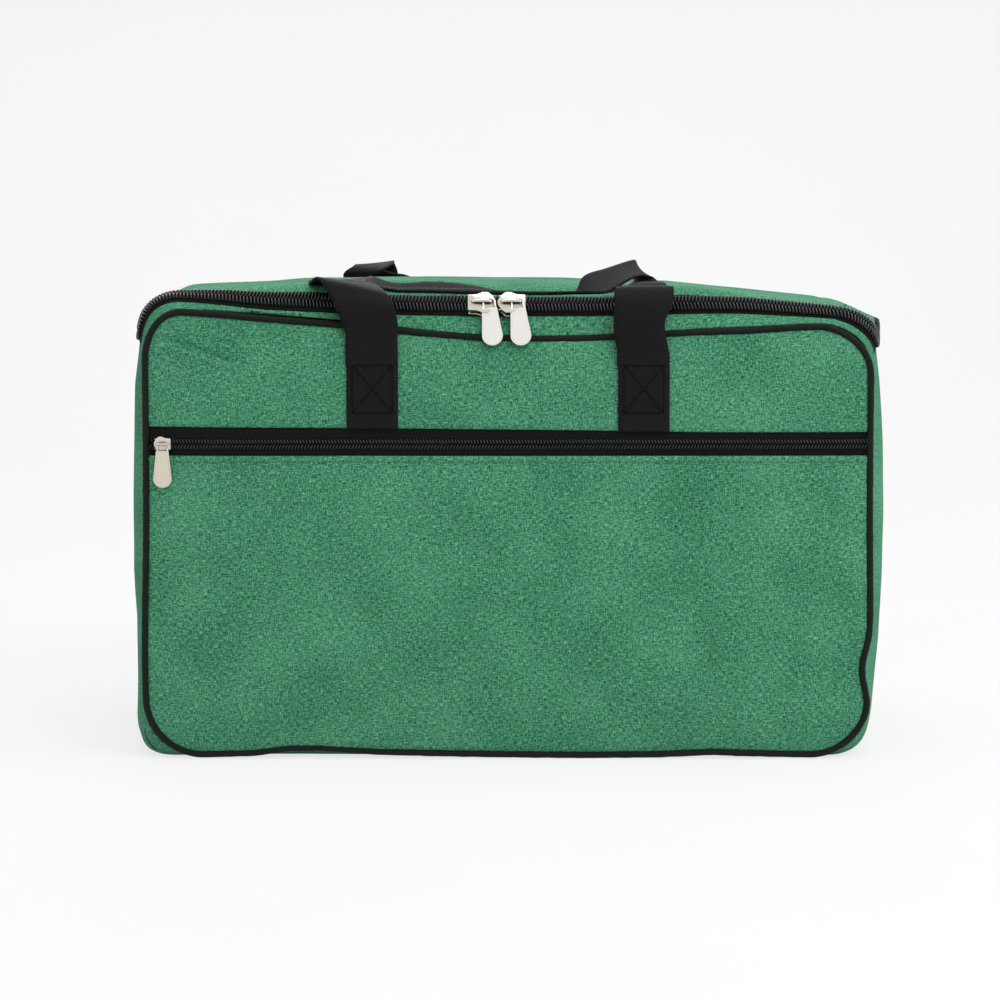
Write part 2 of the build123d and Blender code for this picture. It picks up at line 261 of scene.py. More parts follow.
def middle(a):
    """The bag's full outline behind the front shoulder and in front of the back one."""
    x, z, nx, nz = outline(
        a, MIDDLE_HALF_WIDTH, 0.0, MIDDLE_TOP, MIDDLE_TOP_CORNER, MIDDLE_BOTTOM_CORNER
    )
    up = smooth(nz)
    z = z + up * np.interp(x, LID_X, LID_RISE)
    side = np.abs(nx)
    right = 6.0 * hump(z, 190, 95) - 4.0 * smooth((100 - z) / 80) - 2.5 * smooth((z - 300) / 40)
    left = np.interp(z, LEFT_SIDE_Z, LEFT_SIDE_OUT)
    x = x + nx * side * np.where(nx > 0, right, left)
    return x, z, nx, nz


def skin(a, y):
    """The gusset's surface at a, round the bag, and y, along its depth. Millimetres."""
    a, y = np.broadcast_arrays(np.asarray(a, float), np.asarray(y, float))
    shape = a.shape
    a, y = a.ravel(), y.ravel()
    mx, mz, nx, nz = middle(a)
    fx, fy, fz, _, _ = front_edge(a)
    bx, by, bz, _, _ = back_edge(a)
    near = y < 0
    ex = np.where(near, fx, bx)
    ez = np.where(near, fz, bz)
    edge = np.where(near, -fy, by)
    depth = np.clip(edge - np.abs(y), 0, None)
    top = 1 - (1 - np.clip(depth / TOP_SHOULDER, 0, 1)) ** 2.5
    side = 1 - (1 - np.clip(depth / SIDE_SHOULDER, 0, 1)) ** 2.2
    low = 1 - (1 - np.clip(depth / 22.0, 0, 1)) ** 2.0
    up = smooth(nz * 1.15)
    down = smooth(-nz * 1.15)
    wx = side * (1 - up) * (1 - down) + top * up + low * down
    x = ex + (mx - ex) * wx
    z = ez + (mz - ez) * (top * up + low * down + side * (1 - up - down))
    inner = smooth(depth / 60.0)
    wave = ripple(x, y, z, 95.0, 3.1) * 2.4 + ripple(x, y, z, 42.0, 7.7) * 0.9
    sag = 3.5 * hump(y, 40, 90) * hump(x, 60, 130) + 6.0 * smooth((y - 40) / 80)
    trough = smooth((y + 146) / 11) * smooth((-84 - y) / 34)
    trough = trough * smooth((x + 128) / 45) * smooth((112 - x) / 40)
    sag = up * (sag + 16.0 * trough + 16.0 * hump(y, -104, 26) * hump(x, 32, 50))
    lift = inner * (1 - down)
    x = x + nx * wave * lift * (1 - up * 0.3)
    z = z + nz * wave * lift * 0.9 - sag * inner
    z = np.maximum(z, 0.0)
    return x.reshape(shape), z.reshape(shape)


GRID_A = np.linspace(0, ROUND, 481)
GRID_Y = np.concatenate(
    [
        np.linspace(-HALF_DEPTH + 2.6, -115, 60),
        np.linspace(-110, 110, 56),
        np.linspace(115, HALF_DEPTH, 40),
    ]
)


def measure_depth():
    """How far each grid point lies from the front piping, along the cloth."""
    a, y = np.meshgrid(GRID_A, GRID_Y, indexing="ij")
    x, z = skin(a, y)
    steps = np.sqrt(np.diff(x, axis=1) ** 2 + np.diff(y, axis=1) ** 2 + np.diff(z, axis=1) ** 2)
    return np.concatenate([np.zeros((len(GRID_A), 1)), np.cumsum(steps, axis=1)], axis=1)


RUN = measure_depth()


def across_grid(a, values, read):
    """Reads a table row by row on both sides of a, and takes the value between the two."""
    a, values = np.broadcast_arrays(np.asarray(a, float), np.asarray(values, float))
    share = np.mod(a, ROUND) / (GRID_A[1] - GRID_A[0])
    low = np.clip(share.astype(int), 0, len(GRID_A) - 2)
    part = share - low
    out = np.empty(a.shape)
    for i in np.ndindex(a.shape):
        near = read(values[i], RUN[low[i]])
        far = read(values[i], RUN[low[i] + 1])
        out[i] = near + (far - near) * part[i]
    return out


def y_at(a, d):
    """The depth y of a point that lies d along the cloth from the front piping."""
    return across_grid(a, d, lambda value, run: np.interp(value, run, GRID_Y))


def depth_of(a, y):
    """How far along the cloth from the piping a depth y lies."""
    return across_grid(a, y, lambda value, run: np.interp(value, GRID_Y, run))


def depth_limit(a):
    """How far the cloth runs from the front piping to the back one."""
    return across_grid(a, 0.0, lambda value, run: run[-1])


ZIP_X = (-262, -238, -189, -151, -84, 0, 91, 129, 203, 231, 262)
ZIP_Z = (369.5, 369.7, 368.5, 366.5, 364.8, 364.2, 364.2, 365.0, 363.5, 360.5, 355.0)


def zip_shift():
    """How much further from the sagging piping the zip lies, for a straight front stretch."""
    right = ROUND / 2 - GRID_A
    reach = np.abs(right)
    shift = np.zeros(len(GRID_A))
    for i in np.flatnonzero(reach < FLAT):
        x, z = skin(np.full(len(GRID_Y), GRID_A[i]), GRID_Y)
        target = np.interp(x[0], ZIP_X, ZIP_Z)
        far = np.interp(target, z[:50], RUN[i, :50])
        shift[i] = np.clip(far - ZIP_CENTRE, -7.0, 14.0)
    fade = smooth((FLAT - 2.0 - reach) / 30.0)
    corner = np.where(right > 0, -5.0, 0.0) * smooth((FLAT + QUARTER + 10.0 - reach) / 20.0)
    width = np.ones(21) / 21
    return np.convolve(shift * fade + corner * (1 - fade), width, mode="same")


ZIP_SHIFT = zip_shift()


def cloth_point(a, d, out=0.0):
    """Points on the gusset d along the cloth from the piping, raised outward by out."""
    a, d = np.broadcast_arrays(np.asarray(a, float), np.asarray(d, float))
    share = smooth(d / 9.0) * smooth((75.0 - d) / 45.0)
    d = d + np.interp(np.mod(a, ROUND), GRID_A, ZIP_SHIFT) * share
    y = y_at(a, d)
    a = np.broadcast_to(a, y.shape)
    x, z = skin(a, y)
    x1, z1 = skin(a + 1.5, y)
    x0, z0 = skin(a - 1.5, y)
    x3, z3 = skin(a, y + 1.0)
    x2, z2 = skin(a, y - 1.0)
    along = np.stack([x1 - x0, np.zeros_like(x), z1 - z0], -1)
    back = np.stack([x3 - x2, np.full_like(x, 2.0), z3 - z2], -1)
    normal = np.cross(along, back)
    normal /= np.linalg.norm(normal, axis=-1, keepdims=True)
    centre = np.stack([x, y, z - 190.0], -1)
    sign = np.sign((normal * centre * np.array([1, 0.2, 1])).sum(-1, keepdims=True))
    normal = normal * np.where(sign == 0, 1, sign)
    point = np.stack([x, y, z], -1)
    return point + normal * np.asarray(out)[..., None], normal


# Mesh helpers

def new_mesh(name, points, faces, uv=None, material=None):
    """A mesh object from points in millimetres, faces and a UV place for each point."""
    mesh = bpy.data.meshes.new(name)
    mesh.from_pydata([tuple(np.array(p) * MM) for p in points], [], faces)
    mesh.update()
    if uv is not None:
        layer = mesh.uv_layers.new(name="UVMap")
        for loop in mesh.loops:
            layer.data[loop.index].uv = uv[loop.vertex_index]
    mesh.shade_smooth()
    obj = bpy.data.objects.new(name, mesh)
    bpy.context.collection.objects.link(obj)
    if material is not None:
        obj.data.materials.append(material)
    return obj


def grid_faces(rows, columns, start=0, closed=False):
    """Quads between rows of points."""
    faces = []
    for i in range(rows - 1):
        for j in range(columns if closed else columns - 1):
            k = (j + 1) % columns
            near, far = start + i * columns, start + (i + 1) * columns
            faces.append((near + j, near + k, far + k, far + j))
    return faces


def outward_faces(points):
    """A grid's quads, turned so that they face away from the middle of the bag."""
    faces = grid_faces(*points.shape[:2])
    along = np.diff(points[:, :-1], axis=0)
    across = np.diff(points[:-1], axis=1)
    away = points[:-1, :-1] - BAG_MIDDLE
    if (np.cross(across, along) * away).sum() < 0:
        return [tuple(reversed(f)) for f in faces]
    return faces


def sheet_mesh(name, points, uv, material, thickness):
    """A cloth sheet from a grid of points, made solid inward by thickness in millimetres."""
    faces = outward_faces(points)
    obj = new_mesh(name, points.reshape(-1, 3), faces, uv.reshape(-1, 2), material)
    return thicken(obj, thickness)


def cut_cloth(points):
    """Measures a sheet's width, length and area from its points; the results are not kept."""
    width = np.linalg.norm(np.diff(points, axis=1), axis=-1).sum(axis=1).max() * MM
    length = np.linalg.norm(np.diff(points, axis=0), axis=-1).sum(axis=0).max() * MM
    crossed = np.cross(points[1:, 1:] - points[:-1, :-1], points[1:, :-1] - points[:-1, 1:])
    area = np.linalg.norm(crossed, axis=-1).sum() / 2 * MM * MM
    if width > length:
        length = min(length, 3 * area / width)
    else:
        width = min(width, 3 * area / length)


def thicken(obj, thickness, offset=-1.0):
    """Gives a sheet its thickness in millimetres, inward unless the offset says otherwise."""
    solid = obj.modifiers.new("thickness", "SOLIDIFY")
    solid.thickness = thickness * MM
    solid.offset = offset
    graph = bpy.context.evaluated_depsgraph_get()
    graph.update()
    final = bpy.data.meshes.new_from_object(obj.evaluated_get(graph))
    obj.modifiers.clear()
    old = obj.data
    obj.data = final
    final.name = old.name
    bpy.data.meshes.remove(old)
    return obj


def mend_normals(obj, weld=0.0):
    """Turns all faces outward, after joining points that lie closer than weld."""
    work = bmesh.new()
    work.from_mesh(obj.data)
    if weld:
        bmesh.ops.remove_doubles(work, verts=work.verts, dist=weld)
    bmesh.ops.recalc_face_normals(work, faces=work.faces)
    work.to_mesh(obj.data)
    work.free()


def end_faces(rows, columns):
    """The faces that close both ends of rings of points."""
    last = (rows - 1) * columns
    return [tuple(reversed(range(columns))), tuple(last + k for k in range(columns))]


def tube(points, radius, sides, cap=True):
    """Vertices and faces of a round tube along points."""
    points = np.asarray(points, float)
    count = len(points)
    tangents = np.gradient(points, axis=0)
    tangents /= np.linalg.norm(tangents, axis=1, keepdims=True)
    first = np.array([0, 0, 1.0]) if abs(tangents[0][2]) < 0.9 else np.array([0, 1.0, 0])
    side = unit(np.cross(tangents[0], first))
    vertices = []
    for i in range(count):
        side = unit(side - tangents[i] * side.dot(tangents[i]))
        other = np.cross(tangents[i], side)
        for k in range(sides):
            angle = 2 * math.pi * k / sides
            offset = side * math.cos(angle) + other * math.sin(angle)
            vertices.append(points[i] + offset * radius)
    faces = grid_faces(count, sides, closed=True)
    if cap:
        faces += end_faces(count, sides)
    return vertices, faces


def join(parts):
    """One list of vertices and faces from several."""
    vertices, faces = [], []
    for part_vertices, part_faces in parts:
        start = len(vertices)
        vertices.extend(part_vertices)
        faces.extend(tuple(start + i for i in face) for face in part_faces)
    return vertices, faces


def finish_piece(obj, body, nodes):
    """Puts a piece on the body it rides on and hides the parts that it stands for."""
    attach(obj, body)
    if nodes:
        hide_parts(*nodes)


def padded_piece(name, points, uv, thickness, nodes):
    """A wall of padding under its lining."""
    obj = sheet_mesh(name, points, uv, LINING, thickness)
    finish_piece(obj, "bag", nodes)


def green_piece(name, points, uv, node):
    """A piece of the outer cloth."""
    obj = sheet_mesh(name, points, uv, GREEN, CLOTH_THICKNESS)
    cut_cloth(points)
    finish_piece(obj, "bag", [node])


# Materials

class Nodes:
    """A short way to write a material's nodes."""

    def __init__(self, name):
        self.material = bpy.data.materials.new(name)
        self.material.use_nodes = True
        self.tree = self.material.node_tree
        self.shader = self.tree.nodes["Principled BSDF"]

    def add(self, kind, **values):
        """A node with its settings and socket values."""
        node = self.tree.nodes.new(kind)
        for key, value in values.items():
            if hasattr(node, key):
                setattr(node, key, value)
            else:
                node.inputs[key.replace("_", " ")].default_value = value
        return node

    def link(self, source, target):
        self.tree.links.new(source, target)

    def mapped(self, kind, output, **values):
        """Coordinates of a kind, scaled and turned."""
        place = self.add(kind)
        mapping = self.add("ShaderNodeMapping", **values)
        self.link(place.outputs[output], mapping.inputs["Vector"])
        return mapping.outputs["Vector"]

    def uv(self, scale, angle=0.0):
        """The piece's UV map, in millimetres, scaled and turned."""
        turn = (0, 0, math.radians(angle))
        return self.mapped("ShaderNodeUVMap", "UV", Rotation=turn, Scale=(*scale, 1.0))

    def space(self, scale):
        """Object coordinates, which are metres, scaled."""
        return self.mapped("ShaderNodeTexCoord", "Object", Scale=(scale, scale, scale))

    def noise(self, vector, detail, roughness):
        node = self.add("ShaderNodeTexNoise", Scale=1.0, Detail=detail, Roughness=roughness)
        self.link(vector, node.inputs["Vector"])
        return node.outputs["Fac"]

    def wave(self, vector, scale, direction, distortion):
        node = self.add(
            "ShaderNodeTexWave", bands_direction=direction, wave_profile="SIN",
            Scale=scale, Distortion=distortion, Detail=1.0,
        )
        self.link(vector, node.inputs["Vector"])
        return node.outputs["Fac"]

    def maths(self, operation, first, second):
        node = self.add("ShaderNodeMath", operation=operation)
        for i, value in enumerate((first, second)):
            if isinstance(value, (int, float)):
                node.inputs[i].default_value = value
            else:
                self.link(value, node.inputs[i])
        return node.outputs[0]

    def ramp(self, factor, stops):
        """Colours, written as sRGB bytes, at places from 0 to 1."""
        node = self.add("ShaderNodeValToRGB")
        ramp = node.color_ramp
        while len(ramp.elements) < len(stops):
            ramp.elements.new(0.5)
        for element, (place, colour) in zip(ramp.elements, stops):
            element.position = place
            element.color = tint(colour)
        self.link(factor, node.inputs["Fac"])
        return node.outputs["Color"]

    def span(self, factor, low, high):
        """Spreads a factor from 0..1 over low..high."""
        node = self.add("ShaderNodeMapRange", To_Min=low, To_Max=high)
        self.link(factor, node.inputs["Value"])
        return node.outputs["Result"]

    def bump(self, height, strength, distance):
        node = self.add("ShaderNodeBump", Strength=strength, Distance=distance)
        self.link(height, node.inputs["Height"])
        self.link(node.outputs["Normal"], self.shader.inputs["Normal"])

    def shine(self, roughness, **values):
        self.link(roughness, self.shader.inputs["Roughness"])
        for key, value in values.items():
            self.shader.inputs[key.replace("_", " ")].default_value = value

    def colour(self, value):
        self.link(value, self.shader.inputs["Base Color"])


def tint(colour):
    """An sRGB colour in bytes as a linear one."""
    out = []
    for value in colour:
        value = value / 255
        out.append(value / 12.92 if value <= 0.04045 else ((value + 0.055) / 1.055) ** 2.4)
    return (*out, 1.0)


def heather_cloth():
    """Melange polyester canvas: short light and dark yarns crossing in a plain weave."""
    n = Nodes("heather_green")
    warp = n.noise(n.uv((1 / 0.9, 1 / 3.6)), 2.0, 0.6)
    weft = n.noise(n.uv((1 / 4.0, 1 / 0.9)), 2.0, 0.6)
    fleck = n.noise(n.uv((1 / 1.6, 1 / 1.6)), 3.0, 0.65)
    broad = n.noise(n.uv((1 / 60.0, 1 / 60.0)), 2.0, 0.5)
    mixed = n.maths("ADD", n.maths("MULTIPLY", warp, 0.36), n.maths("MULTIPLY", weft, 0.36))
    mixed = n.maths("ADD", mixed, n.maths("MULTIPLY", fleck, 0.28))
    mixed = n.maths("ADD", mixed, n.maths("MULTIPLY", n.maths("SUBTRACT", broad, 0.5), 0.10))
    n.colour(
        n.ramp(
            mixed,
            [(0.35, (12, 60, 36)), (0.43, (36, 100, 68)), (0.50, (67, 137, 103)),
             (0.57, (98, 169, 133)), (0.67, (146, 208, 174))],
        )
    )
    threads_across = n.wave(n.uv((1.0, 1.0)), 0.62, "X", 1.2)
    threads_down = n.wave(n.uv((1.0, 1.0)), 0.62, "Y", 1.2)
    height = n.maths("ADD", n.maths("MULTIPLY", threads_across, threads_down), mixed)
    n.bump(height, 0.55, 0.0005)
    n.shine(
        n.span(fleck, 0.72, 0.92), Specular_IOR_Level=0.18, Sheen_Weight=0.06, Sheen_Roughness=0.5
    )
    n.shader.inputs["Sheen Tint"].default_value = tint((170, 210, 190))
    return n.material


def black_weave(name, across, down, fuzz, stops, bump, gloss):
    """Two rows of crossing threads under a fuzz of loose yarn.

    across and down are (angle, scale, direction, distortion), fuzz is (size in millimetres,
    detail, roughness, share), and gloss is (low roughness, high roughness, specular level).
    """
    n = Nodes(name)
    threads = [n.wave(n.uv((1.0, 1.0), row[0]), *row[1:]) for row in (across, down)]
    size, detail, roughness, share = fuzz
    loose = n.noise(n.uv((1 / size, 1 / size)), detail, roughness)
    height = n.maths("ADD", n.maths("MULTIPLY", *threads), n.maths("MULTIPLY", loose, share))
    n.colour(n.ramp(height, stops))
    n.bump(height, *bump)
    n.shine(n.span(loose, *gloss[:2]), Specular_IOR_Level=gloss[2])
    return n.material


def nylon_coil(name, dark, light):
    """Dyed nylon filament with a soft gloss."""
    n = Nodes(name)
    marks = n.noise(n.space(900.0), 2.0, 0.5)
    n.colour(n.ramp(marks, [(0.3, dark), (0.75, light)]))
    n.bump(marks, 0.15, 0.0001)
    n.shine(n.span(marks, 0.2, 0.36), Specular_IOR_Level=0.5)
    return n.material


def nickel(name, crevice_painted_shade_colour, base, edge, reach):
    """Polished nickel plate with faint handling marks. Its colour carries painted shade: an
    ambient-occlusion node makes it darker and browner in crevices and hollows, and lightest on
    open faces.
    """
    n = Nodes(name)
    haze = n.noise(n.space(120.0), 3.0, 0.6)
    marks = n.noise(n.space(1400.0), 2.0, 0.6)
    # Painted shade: ambient occlusion darkens the colour in crevices, under the bail and between
    # the plates.
    occlusion_for_painted_shade = n.add("ShaderNodeAmbientOcclusion", samples=6, Distance=reach)
    unshaded_share = n.maths("ADD", occlusion_for_painted_shade.outputs["AO"], n.maths("MULTIPLY", haze, 0.1))
    n.colour(n.ramp(unshaded_share, [(0.3, crevice_painted_shade_colour), (0.66, base), (1.0, edge)]))
    n.bump(marks, 0.04, 0.00005)
    n.shine(n.span(haze, 0.13, 0.26), Metallic=1.0)
    return n.material


def lining_cloth():
    """Thin dark grey polyester lining, ripstop-flat."""
    n = Nodes("lining_grey")
    across = n.wave(n.space(1000.0), 0.5, "X", 0.4)
    up = n.wave(n.space(1000.0), 0.5, "Z", 0.4)
    broad = n.noise(n.space(18.0), 3.0, 0.6)
    height = n.maths("ADD", n.maths("MULTIPLY", across, up), n.maths("MULTIPLY", broad, 0.6))
    n.colour(n.ramp(height, [(0.1, (38, 40, 42)), (0.9, (62, 65, 67))]))
    n.bump(height, 0.35, 0.0004)
    n.shine(n.span(broad, 0.5, 0.68), Specular_IOR_Level=0.35, Sheen_Weight=0.1)
    return n.material


def sewing_thread(name, dark, light, low, high, specular):
    """Twisted sewing thread."""
    n = Nodes(name)
    twist = n.noise(n.space(1600.0), 2.0, 0.5)
    n.colour(n.ramp(twist, [(0.2, dark), (0.9, light)]))
    n.bump(twist, 0.2, 0.0001)
    n.shine(n.span(twist, low, high), Specular_IOR_Level=specular)
    return n.material


GREEN = heather_cloth()
WEBBING = black_weave(
    "webbing_black", (0, 0.24, "X", 0.6), (12, 0.2, "Y", 0.8), (1.6, 3.0, 0.7, 0.4),
    [(0.1, (3, 3, 4)), (0.5, (12, 11, 13)), (1.0, (38, 36, 39))], (0.7, 0.0006),
    (0.5, 0.75, 0.14),
)
TAPE = black_weave(
    "tape_black", (0, 1.1, "Y", 0.5), (0, 0.9, "X", 0.5), (0.9, 2.0, 0.6, 0.3),
    [(0.1, (6, 7, 6)), (0.7, (16, 17, 16)), (1.0, (30, 32, 31))], (0.45, 0.0003),
    (0.6, 0.82, 0.12),
)
PIPING = black_weave(
    "piping_black", (38, 0.8, "X", 1.4), (-52, 1.1, "X", 1.0), (1.6, 3.0, 0.7, 0.5),
    [(0.1, (5, 8, 6)), (0.6, (14, 19, 15)), (1.0, (44, 52, 46))], (0.6, 0.0004),
    (0.5, 0.78, 0.15),
)
COIL = nylon_coil("coil_black", (5, 5, 5), (20, 21, 20))
# The pocket coil's lighter flecks are painted glints on its dark grey nylon.
PAINTED_GLINT_COIL = nylon_coil("coil_fine_painted_glints", (8, 9, 8), (46, 48, 46))
# In each nickel the first colour is the painted shade in its crevices.
NICKEL = nickel("nickel_polished", (96, 87, 74), (196, 192, 184), (234, 232, 227), 0.003)
# The slider bodies' nickel is the tabs' nickel painted darker all over, a painted reflection of
# darker surroundings, and its painted shade reaches further into the crevices.
PAINTED_DARK_NICKEL = nickel("nickel_slider", (52, 44, 34), (154, 147, 133), (212, 207, 197), 0.006)
WARM_NICKEL = nickel("nickel_warm", (84, 70, 50), (168, 156, 132), (212, 204, 188), 0.003)
LINING = lining_cloth()
THREAD = sewing_thread("thread_black", (2, 2, 2), (8, 8, 9), 0.6, 0.8, 0.1)
GREEN_THREAD = sewing_thread("thread_green", (40, 92, 67), (74, 134, 104), 0.45, 0.65, 0.35)


# Body cloth

def cloth_grid(rows, columns, place):
    """Points and UVs of a patch of the gusset: place(s, t) gives a and d for two shares."""
    a, d = place(*share_grid(rows, columns))
    points, _ = cloth_point(a, d)
    return points, np.stack([a, d], -1)


# Where the zip leaves the front and runs back along each side
TOP_MIDDLE = ROUND / 2
SIDE_A = STOPS[3] - ZIP_BELOW_CORNER
LEG_REACH = TOP_MIDDLE - SIDE_A


def zip_path():
    """The zip's centre line in (a, d), from its rear right end round the front."""
    turn = ZIP_TURN
    legs = np.linspace(ZIP_REAR, ZIP_CENTRE + turn, 90)
    right = np.stack([np.full_like(legs, LEG_REACH), legs], -1)
    angle = np.linspace(0, math.pi / 2, 30)[1:]
    corner = np.stack(
        [LEG_REACH - turn + turn * np.cos(angle), ZIP_CENTRE + turn - turn * np.sin(angle)], -1
    )
    front = np.linspace(LEG_REACH - turn, 0, 160)[1:]
    half = np.concatenate([right, corner, np.stack([front, np.full_like(front, ZIP_CENTRE)], -1)])
    other = half[-2::-1] * np.array([-1, 1])
    path = np.concatenate([half, other])
    return path, run_along(path)


ZIP_PATH, ZIP_RUN = zip_path()
ZIP_LENGTH = ZIP_RUN[-1]


def zip_place(s, u):
    """(a, d) of a point s along the zip and u to the lid's side of its centre."""
    s, u = np.broadcast_arrays(np.asarray(s, float), np.asarray(u, float))
    here, ahead, behind = (
        np.stack([np.interp(s + step, ZIP_RUN, ZIP_PATH[:, k]) for k in (0, 1)], -1)
        for step in (0.0, 1.0, -1.0)
    )
    direction = ahead - behind
    direction /= np.linalg.norm(direction, axis=-1, keepdims=True)
    inward = np.stack([direction[..., 1], -direction[..., 0]], -1)
    flat = here + inward * u[..., None]
    return TOP_MIDDLE - flat[..., 0], flat[..., 1]


def front_cut(reach, offset):
    """How far the U-shaped line at this offset from the zip lies from the piping, at a reach."""
    edge = LEG_REACH + offset
    radius = ZIP_TURN + offset
    line = ZIP_CENTRE - offset
    inset = np.clip(reach - (edge - radius), 0, radius)
    return line + radius - np.sqrt(np.clip(radius**2 - inset**2, 0, None))


def top_strip():
    """The strip of cloth between the front piping and the main zip, round both top corners."""
    edge = LEG_REACH + CLOTH_CUT

    def place(s, t):
        reach = edge * (2 * s - 1)
        return TOP_MIDDLE + reach, t * front_cut(np.abs(reach), CLOTH_CUT)

    green_piece("front_strip_cloth", *cloth_grid(361, 13, place), "front_top_strip")


def side_cloth(name, sign, node):
    """A side of the gusset, from the bottom seam up to the zip."""
    low = BOTTOM_SEAM if sign > 0 else ROUND - BOTTOM_SEAM
    high = TOP_MIDDLE - sign * (LEG_REACH + CLOTH_CUT)

    def place(s, t):
        a = low + (high - low) * s
        return a, t * depth_limit(a)

    green_piece(name, *cloth_grid(150, 130, place), node)


def bottom_cloth():
    """The bottom of the gusset, between the two bottom seams."""

    def place(s, t):
        a = BOTTOM_SEAM * (2 * s - 1)
        return a, t * depth_limit(a)

    green_piece("bottom_cloth", *cloth_grid(120, 90, place), "bottom_panel")


def lid_edge(d, offset):
    """How far from the middle the U-shaped line at this offset inside the zip lies, at a depth."""
    radius = ZIP_TURN - offset
    front = ZIP_CENTRE + offset
    inset = np.clip(radius - (d - front), 0, radius)
    return LEG_REACH - offset - radius + np.sqrt(np.clip(radius**2 - inset**2, 0, None))


LID_CROWD = 2.2
LID_RUN = 262.0


def lid_places(offset, rear_y):
    """The lid's patch, with rounded front corners, inside the zip at this offset.

    Its rows crowd towards the front, where the lid curves most.
    """
    front = ZIP_CENTRE + offset

    def place(s, t):
        share = s**LID_CROWD
        rough = front + share * LID_RUN
        reach = lid_edge(rough, offset) * (2 * t - 1)
        a = TOP_MIDDLE + reach
        rear = depth_of(a, rear_y)
        return a, front + share * (rear - front)

    return place


def lid_fabric(obj, nodes):
    """A piece of the lid: its placement is baked into its mesh and the parts it stands for are
    hidden.
    """
    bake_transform(obj)
    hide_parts(*nodes)


def lid_cloth():
    """The lid's outer cloth."""
    points, uv = cloth_grid(130, 221, lid_places(LID_CUT, HINGE_Y))
    obj = sheet_mesh("lid_cloth", points, uv, GREEN, CLOTH_THICKNESS)
    cut_cloth(points)
    lid_fabric(obj, ["lid_panel"])


def rear_strip():
    """The strip of cloth behind the lid, which the lid hinges on."""

    def place(s, t):
        reach = (LEG_REACH + CLOTH_CUT) * (2 * t - 1)
        a = TOP_MIDDLE + reach
        front = depth_of(a, HINGE_Y)
        return a, front + s * (depth_limit(a) - front)

    green_piece("rear_strip_cloth", *cloth_grid(24, 221, place), "back_top_strip")


top_strip()
side_cloth("right_side_cloth", 1, "right_side_panel")
side_cloth("left_side_cloth", -1, "left_side_panel")
bottom_cloth()
lid_cloth()
rear_strip()


# Front and back panels

def coons(bottom, top, left, right):
    """A patch of points between four lines; left and right run up from bottom to top."""
    n, m = len(bottom), len(left)
    u = np.linspace(0, 1, n)[None, :, None]
    v = np.linspace(0, 1, m)[:, None, None]
    across = (1 - v) * bottom[None] + v * top[None]
    up = (1 - u) * left[:, None] + u * right[:, None]
    corners = (
        (1 - u) * (1 - v) * bottom[0]
        + u * (1 - v) * bottom[-1]
        + (1 - u) * v * top[0]
        + u * v * top[-1]
    )
    return across + up - corners


def edge_run(edge, a0, a1, count):
    """Evenly spaced x and z along a panel's edge from a0 to a1."""
    a = np.linspace(a0, a1, count)
    x, _, z, _, _ = edge(np.mod(a, ROUND))
    return np.stack([x, z], -1)


def level_a(edge, side, level):
    """Where a panel's edge crosses a height, on the right (1) or left (-1)."""
    a = np.linspace(STOPS[1] + 5, STOPS[4] - 5, 2001)
    if side < 0:
        a = ROUND - a
    _, _, z, _, _ = edge(a)
    return a[np.argmin(np.abs(z - level))]


def corner_a(index, side):
    """The middle of a corner: 1 for the bottom, 3 for the top."""
    a = (STOPS[index] + STOPS[index + 1]) / 2
    return a if side > 0 else ROUND - a


def patch(edge, level, columns, rows, upper):
    """The part of a panel above or below a level line."""
    index = 3 if upper else 1
    sides = []
    for side in (1, -1):
        ends = [level_a(edge, side, level), corner_a(index, side)]
        sides.append(edge_run(edge, *(ends if upper else ends[::-1]), rows))
    right, left = sides
    start = corner_a(index, -1) - (0 if upper else ROUND)
    curved = edge_run(edge, start, corner_a(index, 1), columns)
    row = 0 if upper else -1
    x = np.linspace(left[row, 0], right[row, 0], columns)
    straight = np.stack([x, np.full(columns, level)], -1)
    bottom, top = (straight, curved) if upper else (curved, straight)
    return coons(bottom, top, left, right)


PATCHES_MEET = 180.0


def whole_panel(edge, columns, rows):
    """A panel in two patches that meet at a level."""
    low, high = (patch(edge, PATCHES_MEET, columns, rows, upper) for upper in (False, True))
    return np.concatenate([low[:-1], high])


def edge_distance(x, z, edge):
    """How far points lie inside a panel's edge."""
    a = np.linspace(0, ROUND, 1600)
    ex, _, ez, _, _ = edge(a)
    flat = np.stack([x.ravel(), z.ravel()], -1)
    out = np.empty(len(flat))
    line = np.stack([ex, ez], -1)
    for start in range(0, len(flat), 4000):
        part = flat[start : start + 4000]
        gap = np.linalg.norm(part[:, None] - line[None], axis=-1)
        out[start : start + 4000] = gap.min(axis=1)
    return out.reshape(x.shape)


def panel_face(x, z, edge, seed):
    """How far a panel's cloth stands out from its seam's plane, in millimetres."""
    d = edge_distance(x, z, edge)
    crown = 5.6 * (1 - np.exp(-d / 30.0)) + 1.4 * (1 - np.exp(-((d / 2.4) ** 2))) - 0.9
    calm = smooth(d / 45.0)
    slack = 1.5 * ripple(x, seed, z, 105.0, 5.3) + 0.55 * ripple(x * 0.6, seed, z, 38.0, 9.1)
    near = 0.7 * ripple(x, z * 0.25, z, 24.0, 2.2) * hump(d, 12.0, 12.0)
    return crown + slack * (0.25 + 0.75 * calm) + near


